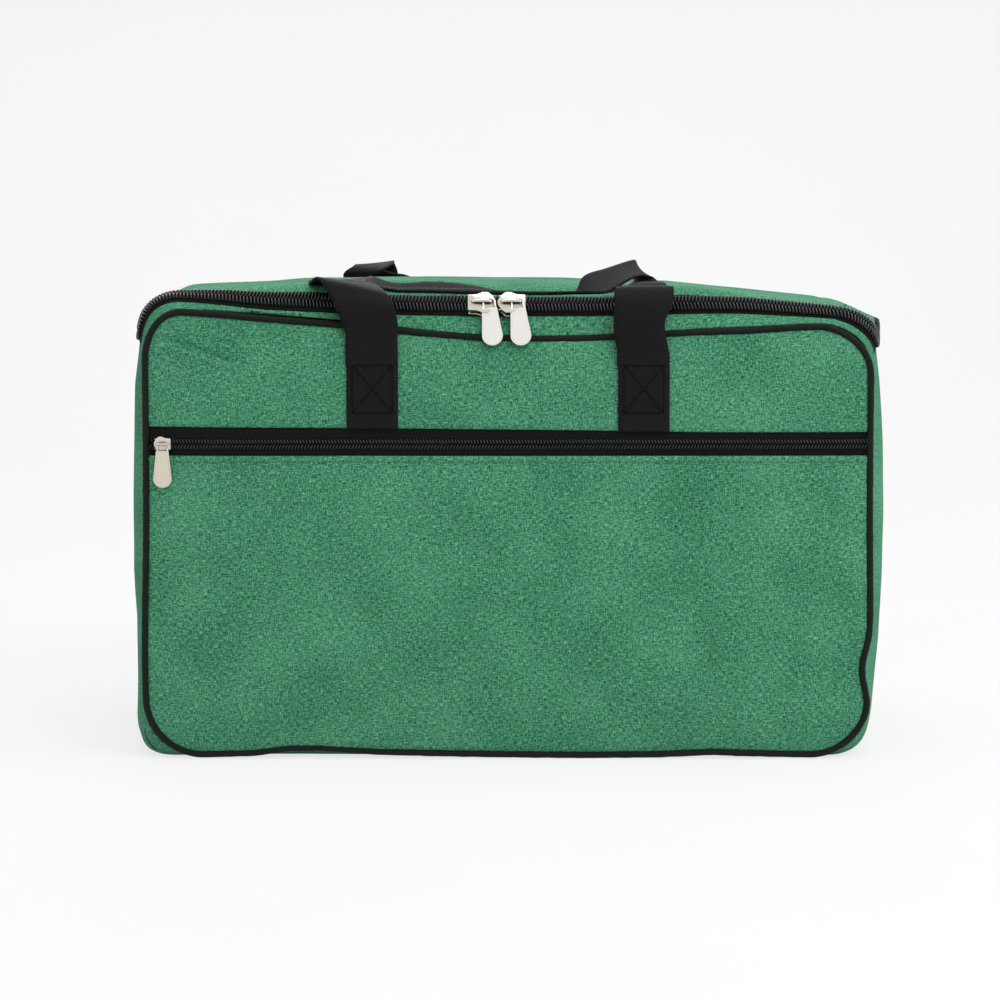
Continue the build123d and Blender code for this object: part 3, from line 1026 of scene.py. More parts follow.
def front_folds(x, z):
    """Creases seen on the front: by the top corners, under the straps and along the pocket."""
    slant = 0.35 * (x + 262)
    corner = smooth((x + 282) / 18)
    fold = -2.4 * hump(z, 334 - slant, 2.8) * smooth((-208 - x) / 22) * corner
    fold += 1.4 * hump(z, 328 - slant, 4.0) * smooth((-205 - x) / 30) * corner
    fold += -0.8 * hump(z + 0.35 * x, 316 + 0.35 * 150, 4.0) * hump(x, 175, 30)
    fold += 0.9 * hump(z - 0.28 * x, 322, 7.0) * hump(x, 20, 45)
    fold += -0.7 * hump(z + 0.5 * x, 300 - 0.5 * 52, 5.0) * hump(x, -60, 26)
    fold += 0.8 * hump(x, 268, 9) * hump(z, 205, 60) - 0.7 * hump(x, 255, 5) * hump(z, 190, 50)
    fold += 0.9 * hump(z - 0.6 * x, 40 + 0.6 * 225, 9) * hump(x, -232, 34)
    fold += -0.8 * hump(z + 0.7 * x, 46 + 0.7 * 238, 7) * hump(x, 244, 30)
    return fold


def front_plane(x, z):
    """The seam's plane, set back a little along the sagging top edge."""
    return -HALF_DEPTH + 2.5 * hump(x, 30, 160) * smooth((z - 295) / 60)


def panel_sheet(name, flat, y, node):
    """A panel's cloth from its flat places and depths."""
    green_piece(name, np.stack([flat[..., 0], y, flat[..., 1]], -1), flat, node)


UPPER_LEVEL = POCKET_ZIP_Z + POCKET_TAPE_HALF - 0.6
POCKET_LEVEL = POCKET_ZIP_Z - POCKET_TAPE_HALF + 0.6


def band_rise(x):
    """How much higher the cloth's edge stands over the pocket zip towards the left."""
    return np.interp(x, (-285, -100, 60, 160), (4.6, 3.6, 2.0, 0.4))


def front_upper():
    """The front above the pocket zip."""
    flat = patch(front_edge, UPPER_LEVEL, 321, 81, True)
    x, z = flat[..., 0], flat[..., 1]
    out = panel_face(x, z, front_edge, 1.0) + front_folds(x, z)
    turned = 1.0 * (1 - np.exp(-((z - UPPER_LEVEL) / 1.6) ** 2)) - 0.4
    flat[..., 1] = z + band_rise(x) * smooth((300 - z) / 34)
    y = front_plane(x, z) - out - turned
    panel_sheet("front_upper_cloth", flat, y, "front_upper_panel")


def pocket_out(x, z):
    """How far the pocket's cloth stands out: it is doubled at its hem and sags below it."""
    out = panel_face(x, z, front_edge, 4.0) + front_folds(x, z) + 0.8
    below = POCKET_LEVEL - z
    hem = 0.55 * smooth((7.2 - below) / 1.4)
    roll = -1.6 * np.exp(-((below / 1.1) ** 2))
    row = -0.5 * hump(below, 5.0, 0.8)
    pucker = 0.22 * ripple(x * 2.2, 0.0, z, 12.0, 6.0) * hump(below, 5.0, 9.0)
    return out + hem + roll + row + pucker


def pocket_cloth():
    """The pocket's front, from its hem under the zip to the bottom seam."""
    flat = patch(front_edge, POCKET_LEVEL, 361, 221, False)
    source = np.linspace(0, 1, flat.shape[0])
    rows = source**0.8
    crowded = np.empty_like(flat)
    for k in (0, 1):
        for j in range(flat.shape[1]):
            crowded[:, j, k] = np.interp(rows, source, flat[:, j, k])
    x, z = crowded[..., 0], crowded[..., 1]
    y = front_plane(x, z) - pocket_out(x, z)
    panel_sheet("pocket_cloth", crowded, y, "pocket_panel")


def back_cloth():
    """The plain back."""
    flat = whole_panel(back_edge, 241, 90)
    y = HALF_DEPTH + panel_face(flat[..., 0], flat[..., 1], back_edge, 8.0)
    panel_sheet("back_cloth", flat, y, "back_panel")


front_upper()
pocket_cloth()
back_cloth()


# Piping, stitches and the pocket's zip

def piping(name, edge, sign, node):
    """The corded piping round a panel, a little uneven, with UVs in millimetres."""
    x, y, z, _, _ = edge(np.linspace(0, ROUND, 900, endpoint=False))
    path = np.stack([x, y + sign * 0.8, z], -1)
    path = np.concatenate([path, path[:1]])
    vertices, _ = tube(path, PIPING_RADIUS, PIPING_SIDES, cap=False)
    rings = np.array(vertices).reshape(len(path), PIPING_SIDES, 3)
    rings[-1] = rings[0]
    rings = np.concatenate([rings, rings[:, :1]], axis=1)
    run = run_along(path)
    centre = path[:, None]
    swell = 1 + 0.1 * ripple(run[:, None] + 0 * rings[..., 0], rings[..., 1] * 0, 0.0, 9.0, 1.0)
    rings = centre + (rings - centre) * swell[..., None]
    rings[-1] = rings[0]
    turn = np.linspace(0, 2 * math.pi * PIPING_RADIUS, PIPING_SIDES + 1)
    uv = np.stack(np.meshgrid(run, turn, indexing="ij"), -1).reshape(-1, 2)
    faces = grid_faces(len(path), PIPING_SIDES + 1)
    obj = new_mesh(name, rings.reshape(-1, 3), faces, uv, PIPING)
    mend_normals(obj, weld=0.00001)
    finish_piece(obj, "bag", [node])


piping("front_piping_cord", front_edge, -1, "front_piping")
piping("back_piping_cord", back_edge, 1, "back_piping")


def stitch_row(path, length, gap):
    """Short threads along a path that come up out of the cloth and go down again."""
    path = np.asarray(path, float)
    run = run_along(path)
    rise = np.sin(np.linspace(0, math.pi, 6)) * 0.45
    parts = []
    start = 0.0
    while start + length < run[-1]:
        at = np.linspace(start, start + length, 6)
        points = np.stack([np.interp(at, run, path[:, k]) for k in range(3)], -1)
        parts.append((points, rise))
        start += length + gap
    return parts


def thread_mesh(name, rows, out, material, radius):
    """Sewing thread from stitch rows; out is the direction that the threads rise in."""
    pieces = []
    for points, rise in rows:
        raised = points + np.asarray(out, float) * rise[:, None]
        pieces.append(tube(raised, radius, 6))
    return new_mesh(name, *join(pieces), None, material)


def hem_stitches():
    """The sewn row along the pocket's hem."""
    half = PANEL_HALF_WIDTH - 4.0
    x = np.linspace(-half, half, 1200)
    z = np.full_like(x, POCKET_LEVEL - 5.0)
    y = front_plane(x, z) - pocket_out(x, z)
    rows = stitch_row(np.stack([x, y, z], -1), 3.0, 0.8)
    obj = thread_mesh("pocket_hem_stitches", rows, (0, -1, 0), GREEN_THREAD, 0.3)
    finish_piece(obj, "bag", [])


hem_stitches()


def pocket_zip_y(x, z):
    """The depth of the pocket zip's tape."""
    d = edge_distance(x, z, front_edge)
    crown = 5.6 * (1 - np.exp(-d / 30.0)) - 0.2
    slack = 1.5 * ripple(x, 1.0, z, 105.0, 5.3)
    return front_plane(x, z) - crown - slack * 0.8


def pocket_tape(name, sign, node):
    """One side of the pocket zip's tape."""
    half = PANEL_HALF_WIDTH - 1.5
    x, t = np.meshgrid(np.linspace(-half, half, 301), np.linspace(0, 1, 9), indexing="ij")
    reach = POCKET_TAPE_HALF - POCKET_COIL_HALF + 2.0 + (band_rise(x) if sign > 0 else 0.0)
    z = POCKET_ZIP_Z + sign * (POCKET_COIL_HALF + t * reach)
    y = pocket_zip_y(x, z) + 0.5 - 0.35 * hump(t, 0.0, 0.25)
    points = np.stack([x, y, z], -1)
    uv = np.stack([x, z], -1)
    finish_piece(sheet_mesh(name, points, uv, TAPE, 0.8), "bag", [node])


def tooth(centre, along, across, out, pitch, half, radius, sign, inner=0.0):
    """One turn of a coil, seen from outside as a slanted bar that comes round its edge."""
    points = []
    for share, lift, shift in (
        (1.02, -0.9, 0.10), (1.06, 0.0, 0.16), (0.98, 0.75, 0.22), (0.70, 1.0, 0.32),
        (0.36, 1.0, 0.46), (0.08, 0.72, 0.58), (0.02, 0.1, 0.62),
    ):
        points.append(
            centre
            + across * (sign * (inner + share * (1 - inner)) * half)
            + out * (lift * radius * 1.7)
            + along * (shift * pitch * 1.15)
        )
    return tube(np.array(points), radius, 6)


def pocket_coil(name, sign, node):
    """One side of the pocket zip's coil."""
    half = PANEL_HALF_WIDTH - 2.5
    count = int(2 * half / POCKET_COIL_PITCH)
    x = np.linspace(-half, half, count)
    z = np.full_like(x, POCKET_ZIP_Z)
    y = pocket_zip_y(x, z) - 0.3
    parts = []
    axes = np.array([[1.0, 0, 0], [0, 0, 1.0], [0, -1.0, 0]])
    for k in range(count):
        centre = np.array([x[k] + (0.5 if sign > 0 else 0.0) * POCKET_COIL_PITCH, y[k], z[k]])
        parts.append(tooth(centre, *axes, POCKET_COIL_PITCH, POCKET_COIL_HALF, 0.52, sign, 0.2))
    obj = new_mesh(name, *join(parts), None, PAINTED_GLINT_COIL)
    finish_piece(obj, "bag", [node])


pocket_tape("pocket_tape_upper", 1, "pocket_zip_upper_tape")
pocket_tape("pocket_tape_lower", -1, "pocket_zip_lower_tape")
pocket_coil("pocket_coil_upper", 1, "pocket_zip_upper_coil")
pocket_coil("pocket_coil_lower", -1, "pocket_zip_lower_coil")


# Main zip

def zip_point(s, u, out=0.0):
    """A point of the main zip: s along it, u to the lid's side, out from the cloth."""
    a, d = zip_place(s, u)
    return cloth_point(a, d, out)


def main_tape(name, sign):
    """One side of the main zip's tape, from the coil to the seam."""
    s, t = np.meshgrid(
        np.linspace(0.5, ZIP_LENGTH - 0.5, 520), np.linspace(0, 1, 9), indexing="ij"
    )
    near = 1.0
    u = sign * (near + t * (TAPE_HALF - near))
    out = 0.25 - 0.9 * smooth((t - 0.6) / 0.4) + 0.5 * hump(t, 0.45, 0.12)
    out = out + 0.25 * ripple(s, u * 3, 0.0, 26.0, 4.4)
    points, _ = zip_point(s, u, out)
    return sheet_mesh(name, points, np.stack([s, u], -1), TAPE, 0.9)


def main_coil(name, sign):
    """One side of the main zip's coil: a row of slanted turns."""
    count = int((ZIP_LENGTH - 4) / COIL_PITCH)
    s = np.linspace(2, ZIP_LENGTH - 2, count)
    if sign > 0:
        s = s + 0.5 * COIL_PITCH
    centre, normal = zip_point(s, np.zeros_like(s), 1.5)
    ahead, _ = zip_point(s + 0.6, np.zeros_like(s), 1.5)
    beside, _ = zip_point(s, np.full_like(s, 1.0), 1.5)
    parts = []
    for k in range(count):
        along = unit(ahead[k] - centre[k])
        across = beside[k] - centre[k]
        across = unit(across - along * across.dot(along))
        parts.append(tooth(centre[k], along, across, normal[k], COIL_PITCH, COIL_HALF, 0.78, sign))
    return new_mesh(name, *join(parts), None, COIL)


finish_piece(main_tape("main_tape_lower", -1), "bag", ["main_zip_lower_tape"])
lid_fabric(main_tape("main_tape_upper", 1), ["main_zip_upper_tape"])
finish_piece(main_coil("main_coil_lower", -1), "bag", ["main_zip_lower_coil"])
lid_fabric(main_coil("main_coil_upper", 1), ["main_zip_upper_coil"])


# Handles

LID_HALF = 267.0


def lid_height(x, y):
    """The height of the lid's cloth under a place."""
    a = TOP_MIDDLE - np.asarray(x, float) * FLAT / LID_HALF
    return skin(a, y)[1]


def spline(rows, per):
    """Catmull-Rom through rows of points, with per steps between rows."""
    rows = np.asarray(rows, float)
    padded = np.concatenate([2 * rows[:1] - rows[1:2], rows, 2 * rows[-1:] - rows[-2:-1]])
    out = []
    for i in range(len(rows) - 1):
        p0, p1, p2, p3 = padded[i : i + 4]
        for k in range(per):
            t = k / per
            bend = (2 * p0 - 5 * p1 + 4 * p2 - p3) * t * t
            twist = (3 * p1 - p0 - 3 * p2 + p3) * t**3
            out.append(0.5 * (2 * p1 + (p2 - p0) * t + bend + twist))
    out.append(rows[-1])
    return np.array(out)


LOOP_COLUMNS = 11


def webbing_mesh(name, rows, lift=None, per=7, crown=0.5):
    """Flat webbing between two edge lines, given as rows of left and right points.

    With a lift it stays that far above the lid's cloth.
    """
    columns = LOOP_COLUMNS
    dense = spline(rows, per)
    t = np.linspace(0, 1, columns)[None, :, None]
    grid = dense[:, :1] * (1 - t) + dense[:, 1:] * t
    along = np.gradient(grid, axis=0)
    across = dense[:, 1:] - dense[:, :1]
    normal = np.cross(np.broadcast_to(across, along.shape), along)
    normal /= np.maximum(np.linalg.norm(normal, axis=-1, keepdims=True), 1e-9)
    bow = crown * (1 - (2 * t - 1) ** 2)
    grid = grid + normal * bow
    if lift is not None:
        floor_z = lid_height(grid[..., 0], grid[..., 1]) + lift
        over = (np.abs(grid[..., 1]) < 150) & (grid[..., 2] < floor_z)
        grid[..., 2] = np.where(over, floor_z, grid[..., 2])
    run = run_along(grid[:, columns // 2])
    width = (np.linspace(0, 1, columns) - 0.5) * STRAP_WIDTH
    uv = np.stack(np.broadcast_arrays(width[None, :], run[:, None]), -1).reshape(-1, 2)
    obj = new_mesh(name, grid.reshape(-1, 3), grid_faces(*grid.shape[:2]), uv, WEBBING)
    return thicken(obj, STRAP_THICKNESS, 0.0)


def strap_level(z, sign):
    """How far out webbing that is sewn to the front (-1) or back (1) lies, at a height."""
    x = np.array([-120.0, -109.0, -98.0, 98.0, 109.0, 120.0])
    edge, seed = (front_edge, 1.0) if sign < 0 else (back_edge, 8.0)
    out = panel_face(x, np.full_like(x, z), edge, seed)
    return sign * (HALF_DEPTH + out.mean() + 1.4)


def anchor(name, x, sign, low, node):
    """A sewn strap end, flat on the panel."""
    rows = []
    for z in np.linspace(low, STRAP_END_TOP, 9):
        y = strap_level(z, sign)
        rows.append([(x - STRAP_WIDTH / 2, y, z), (x + STRAP_WIDTH / 2, y, z)])
    obj = webbing_mesh(name, rows, crown=0.0, per=4)
    finish_piece(obj, "bag", [node])


for side_sign, face in ((-1, "front"), (1, "back")):
    for x_sign, hand in ((-1, "left"), (1, "right")):
        low = BACK_STRAP_END if side_sign > 0 else UPPER_LEVEL - 0.4 + band_rise(x_sign * STRAP_X)
        name, node = f"{face}_{hand}_strap_end", f"{face}_handle_{hand}_anchor"
        anchor(name, x_sign * STRAP_END_X, side_sign, low, node)


def box_stitches(name, sign, node):
    """A box with a cross in it, sewn through each strap end."""
    pieces = []
    for x_sign in (-1, 1):
        middle_x = x_sign * STRAP_END_X
        x0, x1 = middle_x - STRAP_BOX_HALF, middle_x + STRAP_BOX_HALF
        z0, z1 = STRAP_BOX_LOW, STRAP_BOX_HIGH
        runs = [
            ((x0, z0), (x1, z0)), ((x1, z0), (x1, z1)), ((x1, z1), (x0, z1)),
            ((x0, z1), (x0, z0)), ((x0, z0), (x1, z1)), ((x1, z0), (x0, z1)),
        ]
        for start, end in runs:
            share = np.linspace(0, 1, 40)
            x = start[0] + (end[0] - start[0]) * share
            z = start[1] + (end[1] - start[1]) * share
            y = np.array([strap_level(level, sign) for level in z]) + sign * 0.85
            pieces += stitch_row(np.stack([x, y, z], -1), 2.9, 0.9)
    obj = thread_mesh(name, pieces, (0, sign, 0), THREAD, 0.36)
    finish_piece(obj, "bag", [node])


box_stitches("front_strap_stitches", -1, "front_handle_stitches")
box_stitches("back_strap_stitches", 1, "back_handle_stitches")

# Rows of left and right points; the loops leave their sewn ends at these depths
FRONT_Y = strap_level(LOOP_FOOT, -1)
FRONT_LOOP = [
    [(-129, FRONT_Y, 316), (-87.5, FRONT_Y, 316)],
    [(-129, FRONT_Y - 0.6, 334), (-87.5, FRONT_Y - 0.6, 336)],
    [(-129.5, FRONT_Y - 2.4, 345), (-87.5, FRONT_Y - 2.6, 352)],
    [(-137, FRONT_Y - 5.0, 364), (-90, FRONT_Y - 5.0, 363.5)],
    [(-144, FRONT_Y - 3.0, 377), (-93.5, FRONT_Y - 2.0, 370)],
    [(-148, -160, 384), (-96.5, -158, 373.5)],
    [(-152, -150, 386), (-101, -147, 377)],
    [(-157, -138, 383), (-108, -134, 380)],
    [(-160, -127, 377), (-114, -122, 381)],
    [(-158, -119, 377), (-114, -108, 382)],
    [(-152, -116, 379), (-113, -78, 384)],
    [(-126, -125, 375), (-108, -88, 384)],
    [(-95, -134, 367), (-90, -99, 379.5)],
    [(-60, -135, 366), (-58, -98, 380.5)],
    [(-25, -135, 365), (-25, -98, 377)],
    [(10, -134, 363), (10, -98, 369)],
    [(40, -133, 362), (38, -98, 366)],
    [(60, -130, 366), (54, -98, 371)],
    [(72, -127, 369), (62, -92, 385)],
    [(85, -122, 376), (80, -86, 391)],
    [(99, -116, 384), (99, -80, 397)],
    [(108, -104, 386), (104, -78, 397)],
    [(118, -100, 384), (104, -84, 390)],
    [(122, -108, 380), (102, -96, 381)],
    [(126, -125, 377), (90, -120, 376)],
    [(130, -145, 378), (88, -145, 378)],
    [(131, -155, 378.5), (86, -156, 378)],
    [(131, -161, 374), (84, -161.5, 374)],
    [(129.5, FRONT_Y - 4.6, 364), (84, FRONT_Y - 5.0, 366)],
    [(124, FRONT_Y - 5.0, 352), (83.5, FRONT_Y - 4.4, 348)],
    [(125.5, FRONT_Y - 2.4, 338), (85, FRONT_Y - 2.2, 336)],
    [(127.5, FRONT_Y - 0.5, 328), (86.3, FRONT_Y - 0.5, 328)],
    [(127.5, FRONT_Y, 316), (86.3, FRONT_Y, 316)],
]

BACK_Y = strap_level(LOOP_FOOT, 1)
BACK_LOOP = [
    [(-129, BACK_Y, 316), (-88, BACK_Y, 316)],
    [(-129, BACK_Y + 0.8, 338), (-88.5, BACK_Y + 0.8, 338)],
    [(-133, BACK_Y + 4.0, 362), (-94, BACK_Y + 4.0, 364)],
    [(-136, BACK_Y + 2.0, 379), (-98, BACK_Y + 2.0, 383)],
    [(-134, 154, 387.5), (-101, 154, 390.5)],
    [(-137, 144, 386), (-100, 142, 391)],
    [(-145, 143, 380), (-104, 126, 388)],
    [(-140, 154, 371), (-108, 120, 384)],
    [(-112, 160, 356), (-94, 130, 379)],
    [(-84, 162, 346), (-78, 139, 372)],
    [(-40, 162, 340), (-40, 142, 370)],
    [(0, 162, 339), (0, 142, 369)],
    [(40, 162, 340), (38, 142, 370)],
    [(78, 162, 348), (66, 139, 373)],
    [(104, 158, 366), (76, 130, 379)],
    [(109, 147, 379), (80, 134, 380)],
    [(114, 148, 379.5), (79, 147, 379)],
    [(121, 155, 378), (82, 153, 376)],
    [(127, BACK_Y + 4.0, 373), (87, BACK_Y + 4.0, 368)],
    [(128.5, BACK_Y + 1.0, 342), (87.5, BACK_Y + 1.0, 342)],
    [(128.5, BACK_Y, 316), (87.5, BACK_Y, 316)],
]


def handle_loop(name, rows, body, node):
    """A webbing handle loop: it swings with its body and has a mesh of its own."""
    obj = webbing_mesh(name, rows, lift=2.0)
    finish_piece(obj, body, [node])
    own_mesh(obj)


handle_loop("front_webbing_loop", FRONT_LOOP, "front_handle", "front_handle_loop")
handle_loop("back_webbing_loop", BACK_LOOP, "back_handle", "back_handle_loop")


# Sliders and pull tabs

class Frame3:
    """A place with its own axes: along the zip, up it, and out from it."""

    def __init__(self, origin, along, up, out):
        self.origin = np.array(origin, float)
        self.axes = np.array([along, up, out], float)

    def at(self, points):
        return self.origin + np.asarray(points, float) @ self.axes

    def moved(self, *step):
        """The same axes at another place."""
        return Frame3(self.at([step])[0], *self.axes)


SLOPE_SIN = 26.0 / math.hypot(15.0, 26.0)
SLOPE_COS = 15.0 / math.hypot(15.0, 26.0)


def slope_frame(x):
    """The main zip's face in the CAD model at x."""
    up = 16.6
    origin = (x, -HALF_DEPTH + up * SLOPE_COS, 350.0 + up * SLOPE_SIN)
    return Frame3(origin, (1, 0, 0), (0, SLOPE_COS, SLOPE_SIN), (0, -SLOPE_SIN, SLOPE_COS))


def pocket_frame(x):
    """The pocket zip's face in the CAD model at x."""
    origin = (x, -HALF_DEPTH + 0.75, 254.25)
    return Frame3(origin, (1, 0, 0), (0, 0, 1), (0, -1, 0))


def plate(profile, low, high, bevel, frame):
    """A flat plate with softened edges, from a closed profile (along, up)."""
    profile = np.asarray(profile, float)
    centre = profile.mean(axis=0)
    reach = np.abs(profile - centre).max()
    inner = centre + (profile - centre) * (1 - bevel / reach)
    between = centre + (profile - centre) * (1 - 0.3 * bevel / reach)
    layers = [
        (inner, low), (between, low + 0.3 * bevel), (profile, low + bevel),
        (profile, high - bevel), (between, high - 0.3 * bevel), (inner, high),
    ]
    count = len(profile)
    points = [np.column_stack([ring, np.full(count, level)]) for ring, level in layers]
    vertices = frame.at(np.concatenate(points))
    faces = grid_faces(len(layers), count, closed=True) + end_faces(len(layers), count)
    return list(vertices), faces


def arc(cx, cy, radius, start, end, count):
    """Points on an arc, in degrees."""
    angle = np.radians(np.linspace(start, end, count))
    return [(cx + radius * math.cos(t), cy + radius * math.sin(t)) for t in angle]


def rounded(profile, radius):
    """A closed profile with its corners rounded."""
    profile = np.asarray(profile, float)
    out = []
    total = len(profile)
    for i in range(total):
        here, before, after = profile[i], profile[i - 1], profile[(i + 1) % total]
        start, end = here + unit(before - here) * radius, here + unit(after - here) * radius
        for t in np.linspace(0, 1, 5):
            out.append((1 - t) ** 2 * start + 2 * t * (1 - t) * here + t**2 * end)
    return np.array(out)


def rectangle(x0, y0, x1, y1):
    """A closed profile with square corners."""
    return [(x0, y0), (x1, y0), (x1, y1), (x0, y1)]


def slider_body(frame, length, half, coil, wall, nose):
    """A slider's plates: square where the chain enters closed, swollen and pointed where it parts.

    nose is the side, -1 or 1 along the zip, that the slider's narrow nose points to.
    """
    x = nose * length / 2
    side = [(-1, 0.74), (-0.35, 0.78), (0.05, 1), (0.42, 1), (0.72, 0.70), (1, 0.16)]
    profile = [(-x, -half * 0.74)] + [(x * along, half * out) for along, out in side]
    profile += [(x * along, -half * out) for along, out in side[:0:-1]]
    if nose < 0:
        profile = profile[::-1]
    outline_points = rounded(profile, min(length, 2 * half) * 0.05)
    top = plate(outline_points, coil + 0.2, coil + wall, wall * 0.38, frame)
    rear = plate(outline_points * 0.97, -coil - wall * 0.7, -coil - 0.2, wall * 0.3, frame)
    reach = length * 0.46
    flange = rounded(rectangle(-reach, -half * 0.70, reach, -half * 0.60), half * 0.03)
    low, high = (
        plate(side, coil * 0.35, coil + wall * 0.5, wall * 0.12, frame)
        for side in (flange, -flange)
    )
    return [top, rear, low, high]


def bail(frame, half, pin, plate_top, wire):
    """The bridge over a slider that carries its pull tab."""
    leg = [
        (half, 0, plate_top - 0.3), (half, 0, plate_top + 0.9), (half * 0.93, 0, pin + wire * 0.4),
        (half * 0.72, 0, pin + wire), (half * 0.3, 0, pin + wire * 1.2),
    ]
    rise = [(-x, y, z) for x, y, z in leg] + [(0, 0, pin + wire * 1.25)] + leg[::-1]
    rise = np.array(rise)
    smooth_rise = spline(rise[:, None], 4)[:, 0]
    bridge = tube(frame.at(smooth_rise), wire, 10)
    feet = []
    for sign in (-1, 1):
        boss = rounded(rectangle(sign * half - 1.2, -1.3, sign * half + 1.2, 1.3), 0.6)
        feet.append(plate(boss, plate_top - 0.4, plate_top + 0.7, 0.25, frame))
    rod = tube(frame.at([(-half, 0, pin), (half, 0, pin)]), wire * 0.75, 10)
    return [bridge, rod] + feet


def tab_profile(length, top, bottom, neck_end):
    """The wide part of a teardrop pull tab, from under its window to its round end."""
    radius = bottom / 2
    side_y = -length + radius
    points = [(top / 2, neck_end), (-top / 2, neck_end)]
    points += arc(0, side_y, radius, 180 + 6, 360 - 6, 22)
    return np.array(points[::-1])


def pull_tab(frame, pin, length, top, bottom, neck, lean, tilt, wall=1.5):
    """A pull tab with a window at its neck, hanging from the bail.

    It leans out at its end and tilts to the right, in degrees.
    """
    turn = math.radians(lean)
    up = frame.axes[1] * math.cos(turn) - frame.axes[2] * math.sin(turn)
    out = frame.axes[2] * math.cos(turn) + frame.axes[1] * math.sin(turn)
    swing = math.radians(tilt)
    along = frame.axes[0] * math.cos(swing) + up * math.sin(swing)
    up = up * math.cos(swing) - frame.axes[0] * math.sin(swing)
    hang = Frame3(frame.at([(0, 0, pin)])[0], along, up, out)
    parts = []
    window = 5.2 * length / 31.0
    body = tab_profile(length, top, bottom, -window)
    parts.append(plate(body, -wall / 2, wall / 2, wall * 0.42, hang))
    centre = body.mean(axis=0)
    inset = centre + (body - centre) * 0.80
    parts.append(plate(inset, -wall / 2 - 0.12, wall / 2 + 0.12, 0.12, hang))
    rail = neck / 2
    arm = [
        (top / 2 - 0.9, -window - 0.4, 0), (rail, -window * 0.45, 0), (rail * 0.96, 0.6, 0),
        (rail * 0.55, 2.0, 0),
    ]
    loop = arm + [(0, 2.35, 0)] + [(-x, y, z) for x, y, z in arm[::-1]]
    line = spline(np.array(loop)[:, None], 4)[:, 0]
    parts.append(tube(hang.at(line), wall * 0.56, 10))
    cross_bar = [(-top / 2 + 0.7, -window, 0), (top / 2 - 0.7, -window, 0)]
    parts.append(tube(hang.at(cross_bar), wall * 0.6, 10))
    return parts


def metal_piece(name, parts, body, node, material):
    """A plated piece with crisp bevels."""
    obj = new_mesh(name, *join(parts), None, material)
    mend_normals(obj)
    obj.data.set_sharp_from_angle(angle=math.radians(38))
    finish_piece(obj, body, [node])


MAIN_PIN_OUT = 5.5
POCKET_PIN_OUT = 5.1
POCKET_SLIDER_X = -275.0
# Name, place along the zip, side that its nose points to, and how far aside its tab hangs
MAIN_SLIDERS = (("left", -20.8, 1, 5.5), ("right", 2.8, -1, 4.5))
for hand, centre_x, nose, aside in MAIN_SLIDERS:
    face = slope_frame(centre_x)
    parts = slider_body(face, length=22.6, half=9.3, coil=2.6, wall=1.9, nose=nose)
    parts += bail(face, half=7.4, pin=MAIN_PIN_OUT + 0.4, plate_top=4.4, wire=1.15)
    metal_piece(
        f"{hand}_slider_body", parts, f"{hand}_slider", f"{hand}_main_slider", PAINTED_DARK_NICKEL
    )
    hang = face.moved(aside, 0, 0)
    tab = pull_tab(
        hang, MAIN_PIN_OUT, length=36.0, top=12.5, bottom=17.0, neck=9.0, lean=-15.0, tilt=6.0
    )
    metal_piece(f"{hand}_tab_plate", tab, f"{hand}_tab", f"{hand}_pull_tab", NICKEL)

face = pocket_frame(POCKET_SLIDER_X).moved(0, 0, 3.4)
parts = slider_body(face, length=13.4, half=6.0, coil=1.4, wall=1.3, nose=-1)
parts += bail(face, half=4.4, pin=POCKET_PIN_OUT - 2.2, plate_top=2.7, wire=0.75)
metal_piece("pocket_slider_plate", parts, "pocket_slider_body", "pocket_slider", PAINTED_DARK_NICKEL)
tab = pull_tab(
    face, POCKET_PIN_OUT - 2.4, length=35.0, top=10.4, bottom=15.2, neck=7.0, lean=1.5, tilt=0.0,
    wall=1.3,
)
metal_piece("pocket_tab_plate", tab, "pocket_tab", "pocket_pull_tab", WARM_NICKEL)


# Inside: padded walls covered with lining, bound seams and the zip's end tabs

WALL_Y = 138.0
CLOTH_GAP = 1.6
WALL_THICKNESS = 6.0
FLOOR_HALF = 236.0
FRONT_WALL_Y = -145.2
BACK_WALL_Y = 149.6
POCKET_BACK_Y = -146.4
BINDING_GAP = 8.1


def side_wall(name, low, high, nodes):
    """Padding and lining behind a side of the gusset."""
    s, t = share_grid(90, 60)
    a = low + (high - low) * s
    near, far = depth_of(a, -WALL_Y), depth_of(a, WALL_Y)
    d = near + (far - near) * t
    points, _ = cloth_point(a, d, -CLOTH_GAP)
    padded_piece(name, points, np.stack([a, d], -1), WALL_THICKNESS, nodes)


SIDE_TOP = LEG_REACH + CLOTH_CUT + 1.0
side_wall(
    "right_padded_wall", BOTTOM_SEAM + 4, TOP_MIDDLE - SIDE_TOP,
    ["right_side_foam", "right_side_lining"],
)
side_wall(
    "left_padded_wall", ROUND - BOTTOM_SEAM - 4, TOP_MIDDLE + SIDE_TOP,
    ["left_side_foam", "left_side_lining"],
)


def bottom_padding():
    """The padded floor of the bag, over its stiff board."""
    x, y = share_grid(90, 60)
    x, y = FLOOR_HALF * (2 * x - 1), WALL_Y * (2 * y - 1)
    edge = np.minimum(FLOOR_HALF - np.abs(x), WALL_Y - np.abs(y))
    z = 5.6 - 1.1 * np.exp(-edge / 5.0) + 0.3 * ripple(x, y, 0.0, 80.0, 1.9)
    points, places = np.stack([x, y, z], -1), np.stack([x, y], -1)
    padded_piece("bottom_padded_floor", points, places, 2.6, ["bottom_foam", "bottom_lining"])


bottom_padding()


def inner_edge(level, inset, ceiling):
    """The edge of a wall that stands inside the gusset at a depth, no higher than a ceiling."""

    def edge(a):
        a = np.mod(np.asarray(a, float), ROUND)
        x, z = skin(a, np.full_like(a, level))
        _, _, nx, nz = middle(a)
        x = x - nx * inset
        z = np.minimum(z - nz * inset, ceiling)
        return x, np.full_like(x, level), z, nx, nz

    return edge


